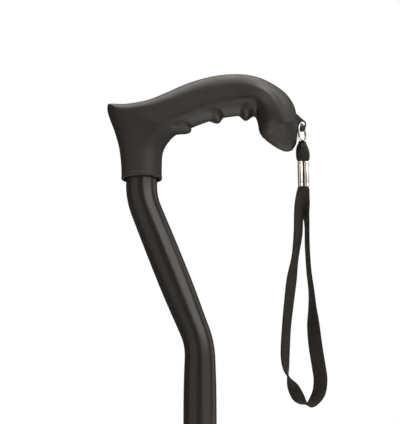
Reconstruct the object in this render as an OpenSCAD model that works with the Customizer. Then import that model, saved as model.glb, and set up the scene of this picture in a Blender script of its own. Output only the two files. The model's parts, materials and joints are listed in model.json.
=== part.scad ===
// Four-footed walking cane with an offset shaft, a contoured grip and a wrist loop.
// +Z is up, the grip's nose points to +X and the user stands on the -Y side.
// The origin is on the floor, at the centre of the four feet.

/* [Height] */
// Overall height at the middle setting
cane_height = 838; // [820:1:860]
// Distance between two height holes
hole_pitch = 25.4; // [25.4]
// Steps up, and steps down, from the middle setting
steps_each_way = 3; // [1:1:3]

/* [Shaft] */
// Outer diameter of the upper tube
upper_od = 22.2; // [22:0.1:22.4]
// Wall of the upper tube
upper_wall = 1.2; // [1.1:0.05:1.2]
// Outer diameter of the lower tube
lower_od = 19.05; // [19:0.05:19.1]
// Wall of the lower tube
lower_wall = 1.2; // [1:0.1:1.4]
// Sideways offset between the stem and the shaft below it
shaft_offset = 40.6; // [38:0.2:44]
// Radius of both bends, at the tube's centre
bend_radius = 50; // [44:1:56]

/* [Grip] */
// Height of the grip from its rim to its crown
grip_height = 76; // [75:0.5:77]
// How far the finger ridges stand out
ridge_height = 3.4; // [1:0.2:4]
// Radius of the strap lug
lug_r = 3.6; // [3.4:0.1:4]

/* [Wrist loop] */
// Width of the tape
tape_width = 9.5; // [8:0.5:10]
// Thickness of the tape
tape_thick = 1.1; // [0.8:0.1:1.2]
// Diameter of the ring's wire
wire_d = 1.4; // [1.2:0.1:1.6]
// Outer diameter of the ring
ring_od = 15.4; // [14:0.2:16]

/* [Base] */
// Distance between the front and the rear feet
feet_length = 170; // [160:1:190]
// Distance between the inner and the outer feet
feet_width = 120; // [110:1:130]
// Distance from the shaft to the line of the inner feet
inner_reach = 32; // [28:1:40]
// Outer diameter of a leg
leg_od = 16; // [14:0.5:16]
// Wall of a leg
leg_wall = 1.5; // [1.2:0.1:2]
// Height of the legs' level stretch
leg_height = 86; // [80:1:94]
// Radius of a rubber tip at its sole
tip_r = 16.5; // [15:0.5:18]

/* [Hidden] */
$fn = 64;

// Colours
black_grip = [0.16, 0.15, 0.14];
black_gloss = [0.09, 0.09, 0.09];
black_plastic = [0.13, 0.13, 0.13];
black_rubber = [0.11, 0.11, 0.11];
black_tape = [0.12, 0.11, 0.1];
bright = [0.8, 0.8, 0.8];
zinc = [0.62, 0.63, 0.64];
white_plastic = [0.86, 0.86, 0.83];

function round_to(v) = round(v * 100) / 100;

// Gaps: parts that slide, parts that only have to clear, and parts glued or pressed together
slide_gap = 0.05;
clear_gap = 0.35;
press_gap = 0.02;
eps = 0.01;

// Shaft
shaft_y = inner_reach - feet_width / 2;
upper_r = upper_od / 2;
upper_bore_r = upper_r - upper_wall;
lower_r = lower_od / 2;
lower_bore_r = lower_r - lower_wall;
rim_z = cane_height - grip_height;
bend_angle = 22.0012;
slant = round_to((shaft_offset - 2 * bend_radius * (1 - cos(bend_angle))) / sin(bend_angle));
stem_top_z = rim_z + 44;
stem_length = 47.6;
bends_rise = slant * cos(bend_angle) + 2 * bend_radius * sin(bend_angle);
shaft_top_z = round_to(stem_top_z - stem_length - bends_rise);
upper_end_z = 232;
lower_end_z = 64;
lower_top_z = 405;

// Height catch
button_z = 374;
button_r = 3.1;
hole_r = button_r + 0.3;
button_reach = 3;
spring_leaf = 0.8;
spring_width = 6.6;

// Grip, in its own frame: the origin is on the stem's axis at the rim.
// Each row is a cut through the grip: its outer point [x, z], its inner point [x, z] and its half width.
grip_cuts = [
    [-14, 0, 14, 0, 14],
    [-14.4, 11, 14, 9, 14],
    [-16, 23, 14.4, 18, 14],
    [-19.1, 34, 16.4, 24, 14.3],
    [-23.2, 45, 19.8, 29, 15],
    [-24.7, 51.5, 22.3, 31.6, 15.5],
    [-22.6, 53.8, 25, 33.6, 15.5],
    [-11, 53.9, 28.5, 35.5, 15.5],
    [4, 56.9, 33.5, 37.5, 15.5],
    [17, 62.5, 39, 39.8, 15.3],
    [31, 69, 46, 42.4, 15],
    [45, 73.5, 54, 44.8, 15],
    [59, 75.9, 62, 46.2, 15.2],
    [72, 75.6, 70, 47.2, 15.6],
    [83, 73, 75.8, 47.8, 16.2],
    [93, 67.8, 79.4, 47, 16.8],
    [101.2, 61.2, 81.2, 42, 17],
    [106.3, 53.2, 82.2, 35.6, 16.8],
    [108.4, 44, 84.2, 31.2, 16],
    [108.6, 33.5, 88.8, 27.1, 14.5],
    [107.5, 26, 94.2, 23.3, 11.5],
    [105.3, 21.6, 98.9, 21.1, 6]
];
grip_end = [102.4, 20.2];
cut_steps = 3;
cut_points = 32;
ridge_x = [31.2, 52.9, 74];
ridge_half_length = 3.4;
ridge_half_width = 10;
rim_recess_r = 12.5;
rim_recess = 3;
core_r = 13;
core_top = 47;
core_arm_start = [4, 42];
core_arm_angle = 7;
core_arm = [86, 9, 8];
pin_z = 30;
pin_r = 2;

// Strap lug and ring, in the grip's frame
lug_hole = [112.3, 40.8];
lug_hole_r = 2.2;
lug_thick = 3;
wire_r = wire_d / 2;
ring_r = ring_od / 2 - wire_r;
ring_yaw = 25;
ring_centre = [lug_hole[0], lug_hole[1] - (lug_hole_r - wire_r - 0.5) - ring_r];

// Corners of a tape's section, in half widths and half thicknesses
tape_section = [[1, 0.4], [0.86, 1], [-0.86, 1], [-1, 0.4], [-1, -0.4], [-0.86, -1], [0.86, -1], [1, -0.4]];

// Ferrule and tape, in a frame whose origin is at the ferrule's lower mouth
ferrule_at = [112.6, -5];
ferrule_height = 17.9;
barrel_r = 2;
barrel_x = 1.95;
mouth_width = 6.6;
mouth_depth = 2.6;
crimped_width = 6.2;
layer_y = (tape_thick + 0.1) / 2;
wire_at = [ring_centre[0] - ferrule_at[0], ring_centre[1] - ring_r - ferrule_at[1]];
top_fold_r = wire_r + 1;

// The loop's centreline, down its left side, round the bottom and up its right side:
// x, y, z, and the turn of the tape's face from the XZ plane
loop_route = [
    [0, -0.6, 9, 0],
    [0, -0.6, 0, 0],
    [-1.8, -0.8, -8.8, 20],
    [-3.9, -1.5, -20.5, 45],
    [-4.8, -2.5, -34, 50],
    [-7.2, -3.5, -50.5, 60],
    [-9.8, -4, -65.8, 44],
    [-11.9, -4, -81.2, 46],
    [-13.9, -4, -98.3, 50],
    [-15, -3.5, -115.4, 50],
    [-14.6, -3, -124.8, 62],
    [-13, -2.4, -131.4, 90],
    [-9.6, -1.5, -138.4, 135],
    [-6.6, -0.5, -144, 140],
    [-2.6, 0.5, -148.4, 100],
    [1.2, 1.5, -149.3, 68],
    [4.9, 2.2, -146, 46],
    [7.9, 2.8, -140.4, 26],
    [9, 3.2, -132.3, 18],
    [8.1, 3.5, -123.9, 14],
    [6.2, 4, -109.7, 16],
    [5.1, 4, -96.4, 34],
    [4.7, 3.8, -85, 62],
    [4.2, 3.5, -72.5, 76],
    [2.7, 3, -58.2, 80],
    [1.9, 2.2, -40.8, 80],
    [1.9, 1.5, -26.3, 79],
    [1.1, 1, -17.6, 66],
    [-0.2, 0.7, -8.8, 25],
    [0, 0.6, 0, 0],
    [0, 0.6, 9, 0]
];
loop_steps = 2;

// Locking collar, measured from the upper tube's lower end
collet_r = 13.4;
collet_top = 24;
collet_foot = 18;
collar_r = 17;
collar_top = 15;
collar_foot = 22;
groove_top = 6;
groove_foot = 12;

// Base
hub_r = 16;
hub_top_z = 128;
hub_foot_z = 60;
boss_r = 11;
boss_reach = 40;
leg_start = 17.5;
leg_r = leg_od / 2;
leg_bend_r = 42;
leg_drop = 81.9205;
leg_splay = 90 - leg_drop;
tip_seat = 7.5;
washer_thick = 1.5;
tip_top = 38;
bolt_z = 114;
bolt_r = 3;
flat_y = hub_r - 2.4;
feet = [
    [feet_length / 2, -feet_width / 2],
    [feet_length / 2, feet_width / 2],
    [-feet_length / 2, -feet_width / 2],
    [-feet_length / 2, feet_width / 2]
];
feet_reach = [for (f = feet) norm([f[0], f[1] - shaft_y])];
feet_angle = [for (f = feet) atan2(f[1] - shaft_y, f[0])];

// A smooth curve through rows of numbers
function between(a, b, c, d, t) =
    0.5 * (2 * b + (c - a) * t + (2 * a - 5 * b + 4 * c - d) * t * t + (3 * b - a - 3 * c + d) * t * t * t);
function row_at(rows, i) = rows[max(0, min(len(rows) - 1, i))];
function smooth_rows(rows, steps) = concat(
    [
        for (i = [0 : len(rows) - 2])
            for (s = [0 : steps - 1])
                between(row_at(rows, i - 1), rows[i], rows[i + 1], row_at(rows, i + 2), s / steps)
    ],
    [rows[len(rows) - 1]]
);

// Faces of a skin over rings of n points each, closed by a flat fan at both ends
function ring_faces(rings, n) = [
    for (i = [0 : rings - 2])
        for (j = [0 : n - 1])
            for (half = [0, 1])
                let (a = i * n + j, b = i * n + (j + 1) % n)
                    half == 0 ? [a, b, b + n] : [a, b + n, a + n]
];
function cap_faces(rings, n) = [
    [for (j = [n - 1 : -1 : 0]) j],
    [for (j = [0 : n - 1]) (rings - 1) * n + j]
];

// The grip's outline at one cut: a rounded loop, pushed out where a finger ridge crosses it
function signed_power(v, p) = sign(v) * pow(abs(v), p);
function ridge(x, y) =
    exp(-pow(y / ridge_half_width, 4))
    * max([for (c = ridge_x) exp(-pow((x - c) / ridge_half_length, 2))]);
function cut_power(cut) = 2 / (2 + 0.35 * min(1, max(0, (norm([cut[0] + 14, cut[1]]) - 6) / 30)));
function grip_ring(cut) = [
    for (j = [0 : cut_points - 1])
        let (
            turn = 360 * j / cut_points,
            p = cut_power(cut),
            along = signed_power(cos(turn), p),
            y = cut[4] * signed_power(sin(turn), p),
            span = [cut[0] - cut[2], cut[1] - cut[3]],
            middle = [cut[0] + cut[2], cut[1] + cut[3]] / 2,
            lift = along < -0.2 ? ridge_height * ridge(cut[2], y) * min(1, (-0.2 - along) / 0.4) : 0,
            spot = middle + span * along / 2 - span / norm(span) * lift
        )
            [spot[0], y, spot[1]]
];

module in_grip_frame() {
    translate([-shaft_offset, shaft_y, rim_z])
        children();
}

module in_ferrule_frame() {
    in_grip_frame()
        translate([ferrule_at[0], 0, ferrule_at[1]])
            children();
}

module grip_body() {
    cuts = smooth_rows(grip_cuts, cut_steps);
    rings = len(cuts);
    end_point = rings * cut_points;
    points = concat(
        [for (cut = cuts) each grip_ring(cut)],
        [[grip_end[0], 0, grip_end[1]]]
    );
    nose = [
        for (j = [0 : cut_points - 1])
            [(rings - 1) * cut_points + j, (rings - 1) * cut_points + (j + 1) % cut_points, end_point]
    ];
    polyhedron(
        points,
        concat(ring_faces(rings, cut_points), nose, [[for (j = [cut_points - 1 : -1 : 0]) j]])
    );
}

module core_shape(extra) {
    translate([0, 0, rim_recess - extra])
        cylinder(r = core_r + extra, h = core_top - rim_recess + 2 * extra);
    translate([core_arm_start[0], 0, core_arm_start[1]])
        rotate([0, -core_arm_angle, 0])
            translate([-extra, -core_arm[1] / 2 - extra, -extra])
                cube([core_arm[0] + 2 * extra, core_arm[1] + 2 * extra, core_arm[2] + 2 * extra]);
}

module handle_grip() {
    color(black_grip)
        in_grip_frame()
            difference() {
                union() {
                    grip_body();
                    translate([0, lug_thick / 2, 0])
                        rotate([90, 0, 0])
                            linear_extrude(lug_thick)
                                union() {
                                    translate(lug_hole)
                                        circle(r = lug_r);
                                    polygon([
                                        [103, 51],
                                        [108.6, 46.6],
                                        lug_hole + lug_r * [cos(50), sin(50)],
                                        lug_hole + lug_r * [cos(-70), sin(-70)],
                                        [104, 34]
                                    ]);
                                }
                }
                core_shape(press_gap);
                translate([0, 0, -eps])
                    cylinder(r = rim_recess_r, h = rim_recess + 2 * eps);
                translate([lug_hole[0], 0, lug_hole[1]])
                    rotate([90, 0, 0])
                        cylinder(r = lug_hole_r, h = lug_thick + 2, center = true);
            }
}

module handle_core() {
    color(black_plastic)
        in_grip_frame()
            difference() {
                core_shape(0);
                translate([0, 0, rim_recess - 1])
                    cylinder(r = upper_r + slide_gap, h = stem_top_z - rim_z - rim_recess + 1 + slide_gap);
                translate([0, 0, pin_z])
                    rotate([90, 0, 0])
                        cylinder(r = pin_r + press_gap, h = 2 * core_r + 2, center = true);
            }
}

module handle_pin() {
    color(zinc)
        in_grip_frame()
            translate([0, 0, pin_z])
                rotate([90, 0, 0])
                    cylinder(r = pin_r, h = 2 * core_r - 1.5, center = true);
}

module strap_ring() {
    color(bright)
        in_grip_frame()
            translate([ring_centre[0], 0, ring_centre[1]])
                rotate([0, 0, 90 - ring_yaw])
                    rotate([90, 0, 0])
                        rotate_extrude()
                            translate([ring_r, 0])
                                circle(r = wire_r);
}

module strap_ferrule() {
    color(bright)
        in_ferrule_frame()
            difference() {
                union() {
                    for (side = [-1, 1])
                        translate([side * barrel_x, 0, 0])
                            cylinder(r = barrel_r, h = ferrule_height);
                    translate([-barrel_x, -mouth_depth / 2 - 0.4, 0])
                        cube([2 * barrel_x, mouth_depth + 0.8, ferrule_height]);
                }
                translate([-mouth_width / 2, -mouth_depth / 2, -1])
                    cube([mouth_width, mouth_depth, ferrule_height + 2]);
            }
}

// A flat tape along points, with its face set by a sideways direction at each point
module tape(points, sideways, widths) {
    count = len(points);
    rings = [
        for (i = [0 : count - 1])
            let (
                ahead = points[min(i + 1, count - 1)] - points[max(i - 1, 0)],
                along = ahead / norm(ahead),
                raw = sideways[i] - (sideways[i] * along) * along,
                side = raw / norm(raw),
                up = cross(along, side),
                w = widths[i] / 2,
                t = tape_thick / 2
            )
                each [for (c = tape_section) points[i] + side * w * c[0] + up * t * c[1]]
    ];
    polyhedron(rings, concat(ring_faces(count, 8), cap_faces(count, 8)));
}

// Over the ring's wire and down to the ferrule on both sides
module strap_top_loop() {
    rise = ferrule_height / 2;
    legs = 6;
    fold = 8;
    fold_r = top_fold_r + tape_thick / 2;
    leg = [
        for (i = [0 : legs - 1])
            let (s = max(0, (i - 1) / (legs - 1)))
                [s, i == 0 ? rise : ferrule_height + (wire_at[1] - ferrule_height) * s]
    ];
    arc = [for (i = [0 : fold]) 180 * i / fold];
    down = [for (i = [legs - 1 : -1 : 0]) leg[i]];
    steps = concat(
        [for (l = leg) [l[0], l[1], 1]],
        [for (a = arc) [1, wire_at[1] + fold_r * sin(a), cos(a)]],
        [for (l = down) [l[0], l[1], -1]]
    );
    turn = 90 - ring_yaw;
    points = [
        for (s = steps)
            let (
                yaw = turn * s[0],
                out = s[2] * (layer_y + (fold_r - layer_y) * s[0])
            )
                [wire_at[0] * s[0] + out * sin(yaw), -out * cos(yaw), s[1]]
    ];
    color(black_tape)
        in_ferrule_frame()
            tape(
                points,
                [for (s = steps) [cos(turn * s[0]), sin(turn * s[0]), 0]],
                [for (s = steps) crimped_width + (6 - crimped_width) * s[0] + 2.6 * sin(180 * s[0])]
            );
}

module wrist_strap() {
    rows = smooth_rows(loop_route, loop_steps);
    points = [for (r = rows) [r[0], r[1], r[2]]];
    count = len(rows);
    sideways = [
        for (i = [0 : count - 1])
            let (
                ahead = points[min(i + 1, count - 1)] - points[max(i - 1, 0)],
                flat = norm([ahead[0], ahead[2]])
            )
                [-ahead[2] / flat * cos(rows[i][3]), sin(rows[i][3]), ahead[0] / flat * cos(rows[i][3])]
    ];
    widths = [
        for (p = points)
            crimped_width + (tape_width - crimped_width) * min(1, max(0, -p[2] / 12))
    ];
    color(black_tape)
        in_ferrule_frame()
            tape(points, sideways, widths);
}

// A bend in a rod, in the XZ plane, from +X towards +Z
module elbow(bend_r, angle, r) {
    rotate([90, 0, 0])
        rotate_extrude(angle = angle)
            translate([bend_r, 0])
                circle(r = r);
}

// Moves to the far end of such a bend, so that +Z carries on along the rod
module past_elbow(bend_r, angle) {
    rotate([0, -angle, 0])
        translate([bend_r, 0, 0])
            children();
}

// A solid rod along the upper tube's centreline, from its lower end up
module upper_run(r, spare) {
    translate([0, 0, upper_end_z - spare])
        cylinder(r = r, h = shaft_top_z - upper_end_z + spare);
    translate([-bend_radius, 0, shaft_top_z]) {
        elbow(bend_radius, bend_angle, r);
        past_elbow(bend_radius, bend_angle) {
            cylinder(r = r, h = slant);
            translate([bend_radius, 0, slant])
                mirror([1, 0, 0]) {
                    elbow(bend_radius, bend_angle, r);
                    past_elbow(bend_radius, bend_angle)
                        cylinder(r = r, h = stem_length + spare);
                }
        }
    }
}

module upper_tube() {
    color(black_gloss)
        translate([0, shaft_y, 0])
            difference() {
                upper_run(upper_r, 0);
                upper_run(upper_bore_r, 1);
                for (k = [-steps_each_way : steps_each_way])
                    translate([0, 0, button_z + k * hole_pitch])
                        rotate([90, 0, 0])
                            cylinder(r = hole_r, h = 2 * upper_od, center = true);
                translate([-shaft_offset, 0, rim_z + pin_z])
                    rotate([90, 0, 0])
                        cylinder(r = pin_r + press_gap, h = 2 * upper_od, center = true);
            }
}

// Threaded end fitting on the upper tube, with slit fingers round the lower tube
module lock_collet() {
    color(black_plastic)
        translate([0, shaft_y, upper_end_z])
            difference() {
                rotate_extrude()
                    polygon([
                        [lower_r + clear_gap, 0],
                        [lower_r + clear_gap, -groove_top],
                        [upper_r + 0.5, -groove_top],
                        [upper_r + 0.5, -groove_foot],
                        [lower_r + clear_gap, -groove_foot],
                        [lower_r + clear_gap, -collet_foot],
                        [collet_r - 1.8, -collet_foot],
                        [collet_r - 0.6, -collet_foot + 5],
                        [collet_r, -collet_foot + 6],
                        [collet_r, collet_top - 7],
                        [collar_r - 1, collet_top - 6],
                        [collar_r - 1, collet_top - 1],
                        [collar_r - 2, collet_top],
                        [upper_r + press_gap, collet_top],
                        [upper_r + press_gap, 0]
                    ]);
                for (a = [45, 135])
                    rotate([0, 0, a])
                        translate([-collar_r, -0.8, -collet_foot - 1])
                            cube([2 * collar_r, 1.6, collet_foot - 2]);
            }
}

// Knurled ring nut that squeezes the collet's fingers
module lock_collar() {
    ribs = 28;
    color(black_plastic)
        translate([0, shaft_y, upper_end_z])
            difference() {
                rotate_extrude()
                    polygon([
                        [lower_r + 0.8, -collar_foot],
                        [collar_r - 2.4, -collar_foot],
                        [collar_r - 0.6, -collar_foot + 2],
                        [collar_r, -collar_foot + 5],
                        [collar_r, collar_top - 1],
                        [collar_r - 1, collar_top],
                        [collet_r + clear_gap, collar_top],
                        [collet_r + clear_gap, -collet_foot - 0.8],
                        [lower_r + 0.8, -collet_foot - 0.8]
                    ]);
                for (i = [0 : ribs - 1])
                    rotate([0, 0, i * 360 / ribs])
                        translate([collar_r + 0.5, 0, -collar_foot + 7])
                            cylinder(r = 1.2, h = collar_top + collar_foot - 11);
            }
}

module glide_ring() {
    color(white_plastic)
        translate([0, shaft_y, upper_end_z - groove_foot + clear_gap])
            difference() {
                cylinder(r = upper_r + 0.5 - clear_gap, h = groove_foot - groove_top - 2 * clear_gap);
                translate([0, 0, -1])
                    cylinder(r = lower_r + slide_gap, h = groove_foot);
            }
}

module lower_tube() {
    color(black_gloss)
        translate([0, shaft_y, 0])
            difference() {
                translate([0, 0, lower_end_z])
                    cylinder(r = lower_r, h = lower_top_z - lower_end_z);
                translate([0, 0, lower_end_z - 1])
                    cylinder(r = lower_bore_r, h = lower_top_z - lower_end_z + 2);
                translate([0, -lower_r, button_z])
                    rotate([90, 0, 0])
                        cylinder(r = hole_r, h = lower_r, center = true);
                translate([0, 0, bolt_z])
                    rotate([90, 0, 0])
                        cylinder(r = bolt_r + 0.2, h = 2 * lower_od, center = true);
            }
}

// Plug with a rim that runs inside the upper tube
module tube_bushing() {
    color(white_plastic)
        translate([0, shaft_y, lower_top_z])
            difference() {
                union() {
                    translate([0, 0, press_gap])
                        cylinder(r = upper_bore_r - 0.3, h = 4);
                    translate([0, 0, -12])
                        cylinder(r = lower_bore_r - slide_gap, h = 13);
                }
                translate([0, 0, -13])
                    cylinder(r = lower_bore_r - 2, h = 20);
            }
}

// Leaf spring bent to a U inside the lower tube
module snap_spring() {
    front = 6.9 - spring_leaf;
    back = lower_bore_r - 1.1;
    bend_out = (front + back) / 2;
    color(zinc)
        translate([0, shaft_y, button_z])
            rotate([90, 0, 90])
                translate([0, 0, -spring_width / 2])
                    linear_extrude(spring_width)
                        union() {
                            translate([-front, -26])
                                square([spring_leaf, 38]);
                            translate([back - spring_leaf, -26])
                                square([spring_leaf, 30]);
                            translate([(back - front) / 2, -26])
                                difference() {
                                    circle(r = bend_out);
                                    circle(r = bend_out - spring_leaf);
                                    translate([-bend_out - 1, 0])
                                        square([2 * bend_out + 2, bend_out + 1]);
                                }
                        }
}

// Push button: a domed stud with a flange that rests behind the lower tube's wall
module snap_button() {
    tip = upper_r + button_reach;
    flange_back = 6.15;
    flange_front = 6.75;
    dome = 1.6;
    color(bright)
        translate([0, shaft_y, button_z])
            rotate([90, 0, 0])
                rotate_extrude()
                    polygon(concat(
                        [[0, flange_back], [3.9, flange_back], [3.9, flange_front], [button_r, flange_front]],
                        [
                            for (a = [0 : 15 : 90])
                                [button_r - dome + dome * cos(a), tip - dome + dome * sin(a)]
                        ],
                        [[0, tip]]
                    ));
}

module base_hub() {
    color(black_gloss)
        translate([0, shaft_y, 0])
            difference() {
                union() {
                    rotate_extrude()
                        polygon([
                            [0, hub_foot_z],
                            [hub_r - 3, hub_foot_z],
                            [hub_r, hub_foot_z + 3],
                            [hub_r, leg_height + 8],
                            [hub_r - 2.2, leg_height + 16],
                            [hub_r - 2.2, hub_top_z - 5],
                            [hub_r - 1, hub_top_z - 4],
                            [hub_r - 1, hub_top_z - 0.8],
                            [hub_r - 1.8, hub_top_z],
                            [0, hub_top_z]
                        ]);
                    for (a = feet_angle)
                        rotate([0, 0, a])
                            translate([0, 0, leg_height])
                                rotate([0, 90, 0])
                                    cylinder(r = boss_r, h = boss_reach);
                }
                translate([0, 0, lower_end_z])
                    cylinder(r = lower_r + slide_gap, h = hub_top_z);
                for (a = feet_angle)
                    rotate([0, 0, a])
                        translate([leg_start, 0, leg_height])
                            rotate([0, 90, 0])
                                cylinder(r = leg_r + slide_gap, h = boss_reach);
                for (a = feet_angle)
                    rotate([0, 0, a])
                        translate([boss_reach - 8, 0, leg_height - boss_r - 1])
                            cylinder(r = 1.5 + press_gap, h = 2 * boss_r + 2);
                translate([0, 0, bolt_z])
                    rotate([90, 0, 0])
                        cylinder(r = bolt_r + 0.2, h = 3 * hub_r, center = true);
                for (side = [-1, 1])
                    translate([-8, side * (flat_y + 5) - 5, bolt_z - 8])
                        cube([16, 10, 16]);
            }
}

module hub_bolt() {
    color(zinc)
        translate([0, shaft_y, bolt_z])
            rotate([90, 0, 0])
                difference() {
                    union() {
                        translate([0, 0, -flat_y - 8])
                            cylinder(r = bolt_r, h = 2 * flat_y + 9.4);
                        translate([0, 0, flat_y + 1.2 + press_gap])
                            cylinder(r = 5, h = 4.2);
                    }
                    translate([0, 0, flat_y + 3])
                        cylinder(r = 2.3, h = 4, $fn = 6);
                }
}

module hub_washers() {
    color(zinc)
        translate([0, shaft_y, bolt_z])
            for (side = [-1, 1])
                translate([0, side * (flat_y + 0.6 + press_gap / 2), 0])
                    rotate([90, 0, 0])
                        difference() {
                            cylinder(r = 6, h = 1.2 - press_gap, center = true);
                            cylinder(r = bolt_r + 0.2, h = 3, center = true);
                        }
}

module hub_nut() {
    color(zinc)
        translate([0, shaft_y + flat_y + 1.2 + press_gap, bolt_z])
            rotate([-90, 0, 0])
                difference() {
                    union() {
                        cylinder(r = 5.7, h = 4.6, $fn = 6);
                        translate([0, 0, 4])
                            cylinder(r = 4.6, h = 2);
                    }
                    translate([0, 0, -1])
                        cylinder(r = bolt_r + press_gap, h = 8);
                }
}

// A solid rod along a leg's centreline, in the leg's own upright plane, from the hub out and down
module leg_run(reach, r, spare) {
    foot_rise = leg_height - leg_bend_r * (1 - cos(leg_drop));
    level = round_to(reach - foot_rise * tan(leg_splay) - leg_bend_r * sin(leg_drop) - leg_start);
    lower = round_to(foot_rise / sin(leg_drop) - tip_seat);
    translate([leg_start - spare, 0, leg_height])
        rotate([0, 90, 0])
            cylinder(r = r, h = level + spare);
    translate([leg_start + level, 0, leg_height - leg_bend_r])
        mirror([1, 0, -1]) {
            elbow(leg_bend_r, leg_drop, r);
            past_elbow(leg_bend_r, leg_drop)
                cylinder(r = r, h = lower + spare);
        }
}

module leg(i) {
    color(black_gloss)
        translate([0, shaft_y, 0])
            rotate([0, 0, feet_angle[i]])
                difference() {
                    leg_run(feet_reach[i], leg_r, 0);
                    leg_run(feet_reach[i], leg_r - leg_wall, 1);
                    translate([boss_reach - 8, 0, leg_height])
                        cylinder(r = 1.5 + press_gap, h = 2 * leg_od, center = true);
                }
}

module leg_front_inner() {
    leg(0);
}

module leg_front_outer() {
    leg(1);
}

module leg_rear_inner() {
    leg(2);
}

module leg_rear_outer() {
    leg(3);
}

module leg_pins() {
    color(zinc)
        translate([0, shaft_y, 0])
            for (a = feet_angle)
                rotate([0, 0, a])
                    translate([boss_reach - 8, 0, leg_height])
                        cylinder(r = 1.5, h = 2 * boss_r - 1, center = true);
}

// Rubber tip: leans with its leg, and its ringed sole lies flat on the floor
module tip(i) {
    color(black_rubber)
        translate([0, shaft_y, 0])
            rotate([0, 0, feet_angle[i]])
                translate([feet_reach[i], 0, 0])
                    difference() {
                        intersection() {
                            rotate([0, -leg_splay, 0])
                                rotate_extrude()
                                    polygon([
                                        [0, -5],
                                        [tip_r, -5],
                                        [tip_r, 4],
                                        [tip_r - 0.8, 7],
                                        [tip_r - 3.4, 10],
                                        [tip_r - 4.4, 14],
                                        [tip_r - 5, tip_top - 5],
                                        [tip_r - 4.4, tip_top - 4],
                                        [tip_r - 4.4, tip_top - 1],
                                        [tip_r - 5.2, tip_top],
                                        [0, tip_top]
                                    ]);
                            translate([-30, -30, 0])
                                cube([60, 60, 60]);
                        }
                        rotate([0, -leg_splay, 0])
                            translate([0, 0, tip_seat - washer_thick - press_gap])
                                cylinder(r = leg_r + press_gap, h = tip_top);
                        for (r = [6, 10.5])
                            translate([0, 0, -1])
                                difference() {
                                    cylinder(r = r + 1.5, h = 2);
                                    translate([0, 0, -1])
                                        cylinder(r = r, h = 4);
                                }
                    }
}

module tip_front_inner() {
    tip(0);
}

module tip_front_outer() {
    tip(1);
}

module tip_rear_inner() {
    tip(2);
}

module tip_rear_outer() {
    tip(3);
}

module tip_washers() {
    color(zinc)
        for (i = [0 : 3])
            translate([0, shaft_y, 0])
                rotate([0, 0, feet_angle[i]])
                    translate([feet_reach[i], 0, 0])
                        rotate([0, -leg_splay, 0])
                            translate([0, 0, tip_seat - washer_thick])
                                cylinder(r = leg_r - 0.2, h = washer_thick - press_gap);
}

handle_grip();
handle_core();
handle_pin();
strap_ring();
strap_ferrule();
strap_top_loop();
wrist_strap();
upper_tube();
lock_collet();
lock_collar();
glide_ring();
lower_tube();
tube_bushing();
snap_spring();
snap_button();
base_hub();
hub_bolt();
hub_washers();
hub_nut();
leg_front_inner();
leg_front_outer();
leg_rear_inner();
leg_rear_outer();
leg_pins();
tip_front_inner();
tip_front_outer();
tip_rear_inner();
tip_rear_outer();
tip_washers();
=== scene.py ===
"""A four-footed offset walking cane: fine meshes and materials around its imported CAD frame."""

import json
import math

import bmesh
import bpy
import numpy as np
from mathutils import Matrix, Vector


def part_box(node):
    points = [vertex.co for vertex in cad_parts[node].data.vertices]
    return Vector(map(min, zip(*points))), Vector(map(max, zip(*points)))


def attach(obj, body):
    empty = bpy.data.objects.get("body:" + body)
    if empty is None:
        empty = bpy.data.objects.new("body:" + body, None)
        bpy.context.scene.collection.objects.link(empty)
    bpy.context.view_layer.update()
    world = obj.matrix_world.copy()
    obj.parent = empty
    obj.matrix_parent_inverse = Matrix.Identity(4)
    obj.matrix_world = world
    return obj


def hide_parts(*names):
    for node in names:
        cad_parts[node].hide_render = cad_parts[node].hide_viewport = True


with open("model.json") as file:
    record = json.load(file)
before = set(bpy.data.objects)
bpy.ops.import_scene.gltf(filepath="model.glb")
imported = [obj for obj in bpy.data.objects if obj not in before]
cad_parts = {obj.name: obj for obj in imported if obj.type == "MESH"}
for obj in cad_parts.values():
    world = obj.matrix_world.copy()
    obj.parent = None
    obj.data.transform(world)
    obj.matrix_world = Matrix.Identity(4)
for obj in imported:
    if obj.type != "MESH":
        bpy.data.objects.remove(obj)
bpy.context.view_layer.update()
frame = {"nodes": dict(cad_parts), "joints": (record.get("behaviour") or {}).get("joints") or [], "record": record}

MM = 0.001
TAU = 2 * math.pi

# ---- Places, worked out from the frame ----

TUBE_LOW, TUBE_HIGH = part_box("upper_tube")
UPPER_R = TUBE_HIGH.x
STEM_X = TUBE_LOW.x + UPPER_R
SHAFT_Y = (TUBE_LOW.y + TUBE_HIGH.y) / 2
CORE_INSET = 3 * MM
GRIP = Vector((STEM_X, SHAFT_Y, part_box("handle_core")[0].z - CORE_INSET))
LOWER_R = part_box("lower_tube")[1].x
UPPER_END_Z = TUBE_LOW.z
RING_LOW, RING_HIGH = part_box("strap_ring")
RING = (RING_LOW + RING_HIGH) / 2
FERRULE_LOW, FERRULE_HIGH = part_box("strap_ferrule")
FERRULE = Vector((*((FERRULE_LOW + FERRULE_HIGH) / 2).xy, FERRULE_LOW.z))
FERRULE_HEIGHT = FERRULE_HIGH.z - FERRULE_LOW.z
JOINTS = {joint["name"]: joint for joint in frame["joints"]}
LUG_HOLE = Vector(JOINTS["ring_swing"]["pos_m"])
RING_AXIS = Vector(JOINTS["strap_swing"]["axis"])
RING_WIRE_R = 0.7 * MM
RING_R = (RING_HIGH.z - RING_LOW.z) / 2 - RING_WIRE_R

# ---- Camera ----

VIEW_AIM = Vector((0, SHAFT_Y, 0.739))
VIEW_ELEVATION = math.radians(-12)
VIEW_DISTANCE = 0.75
VIEW_WIDTH = 0.2765


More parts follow.
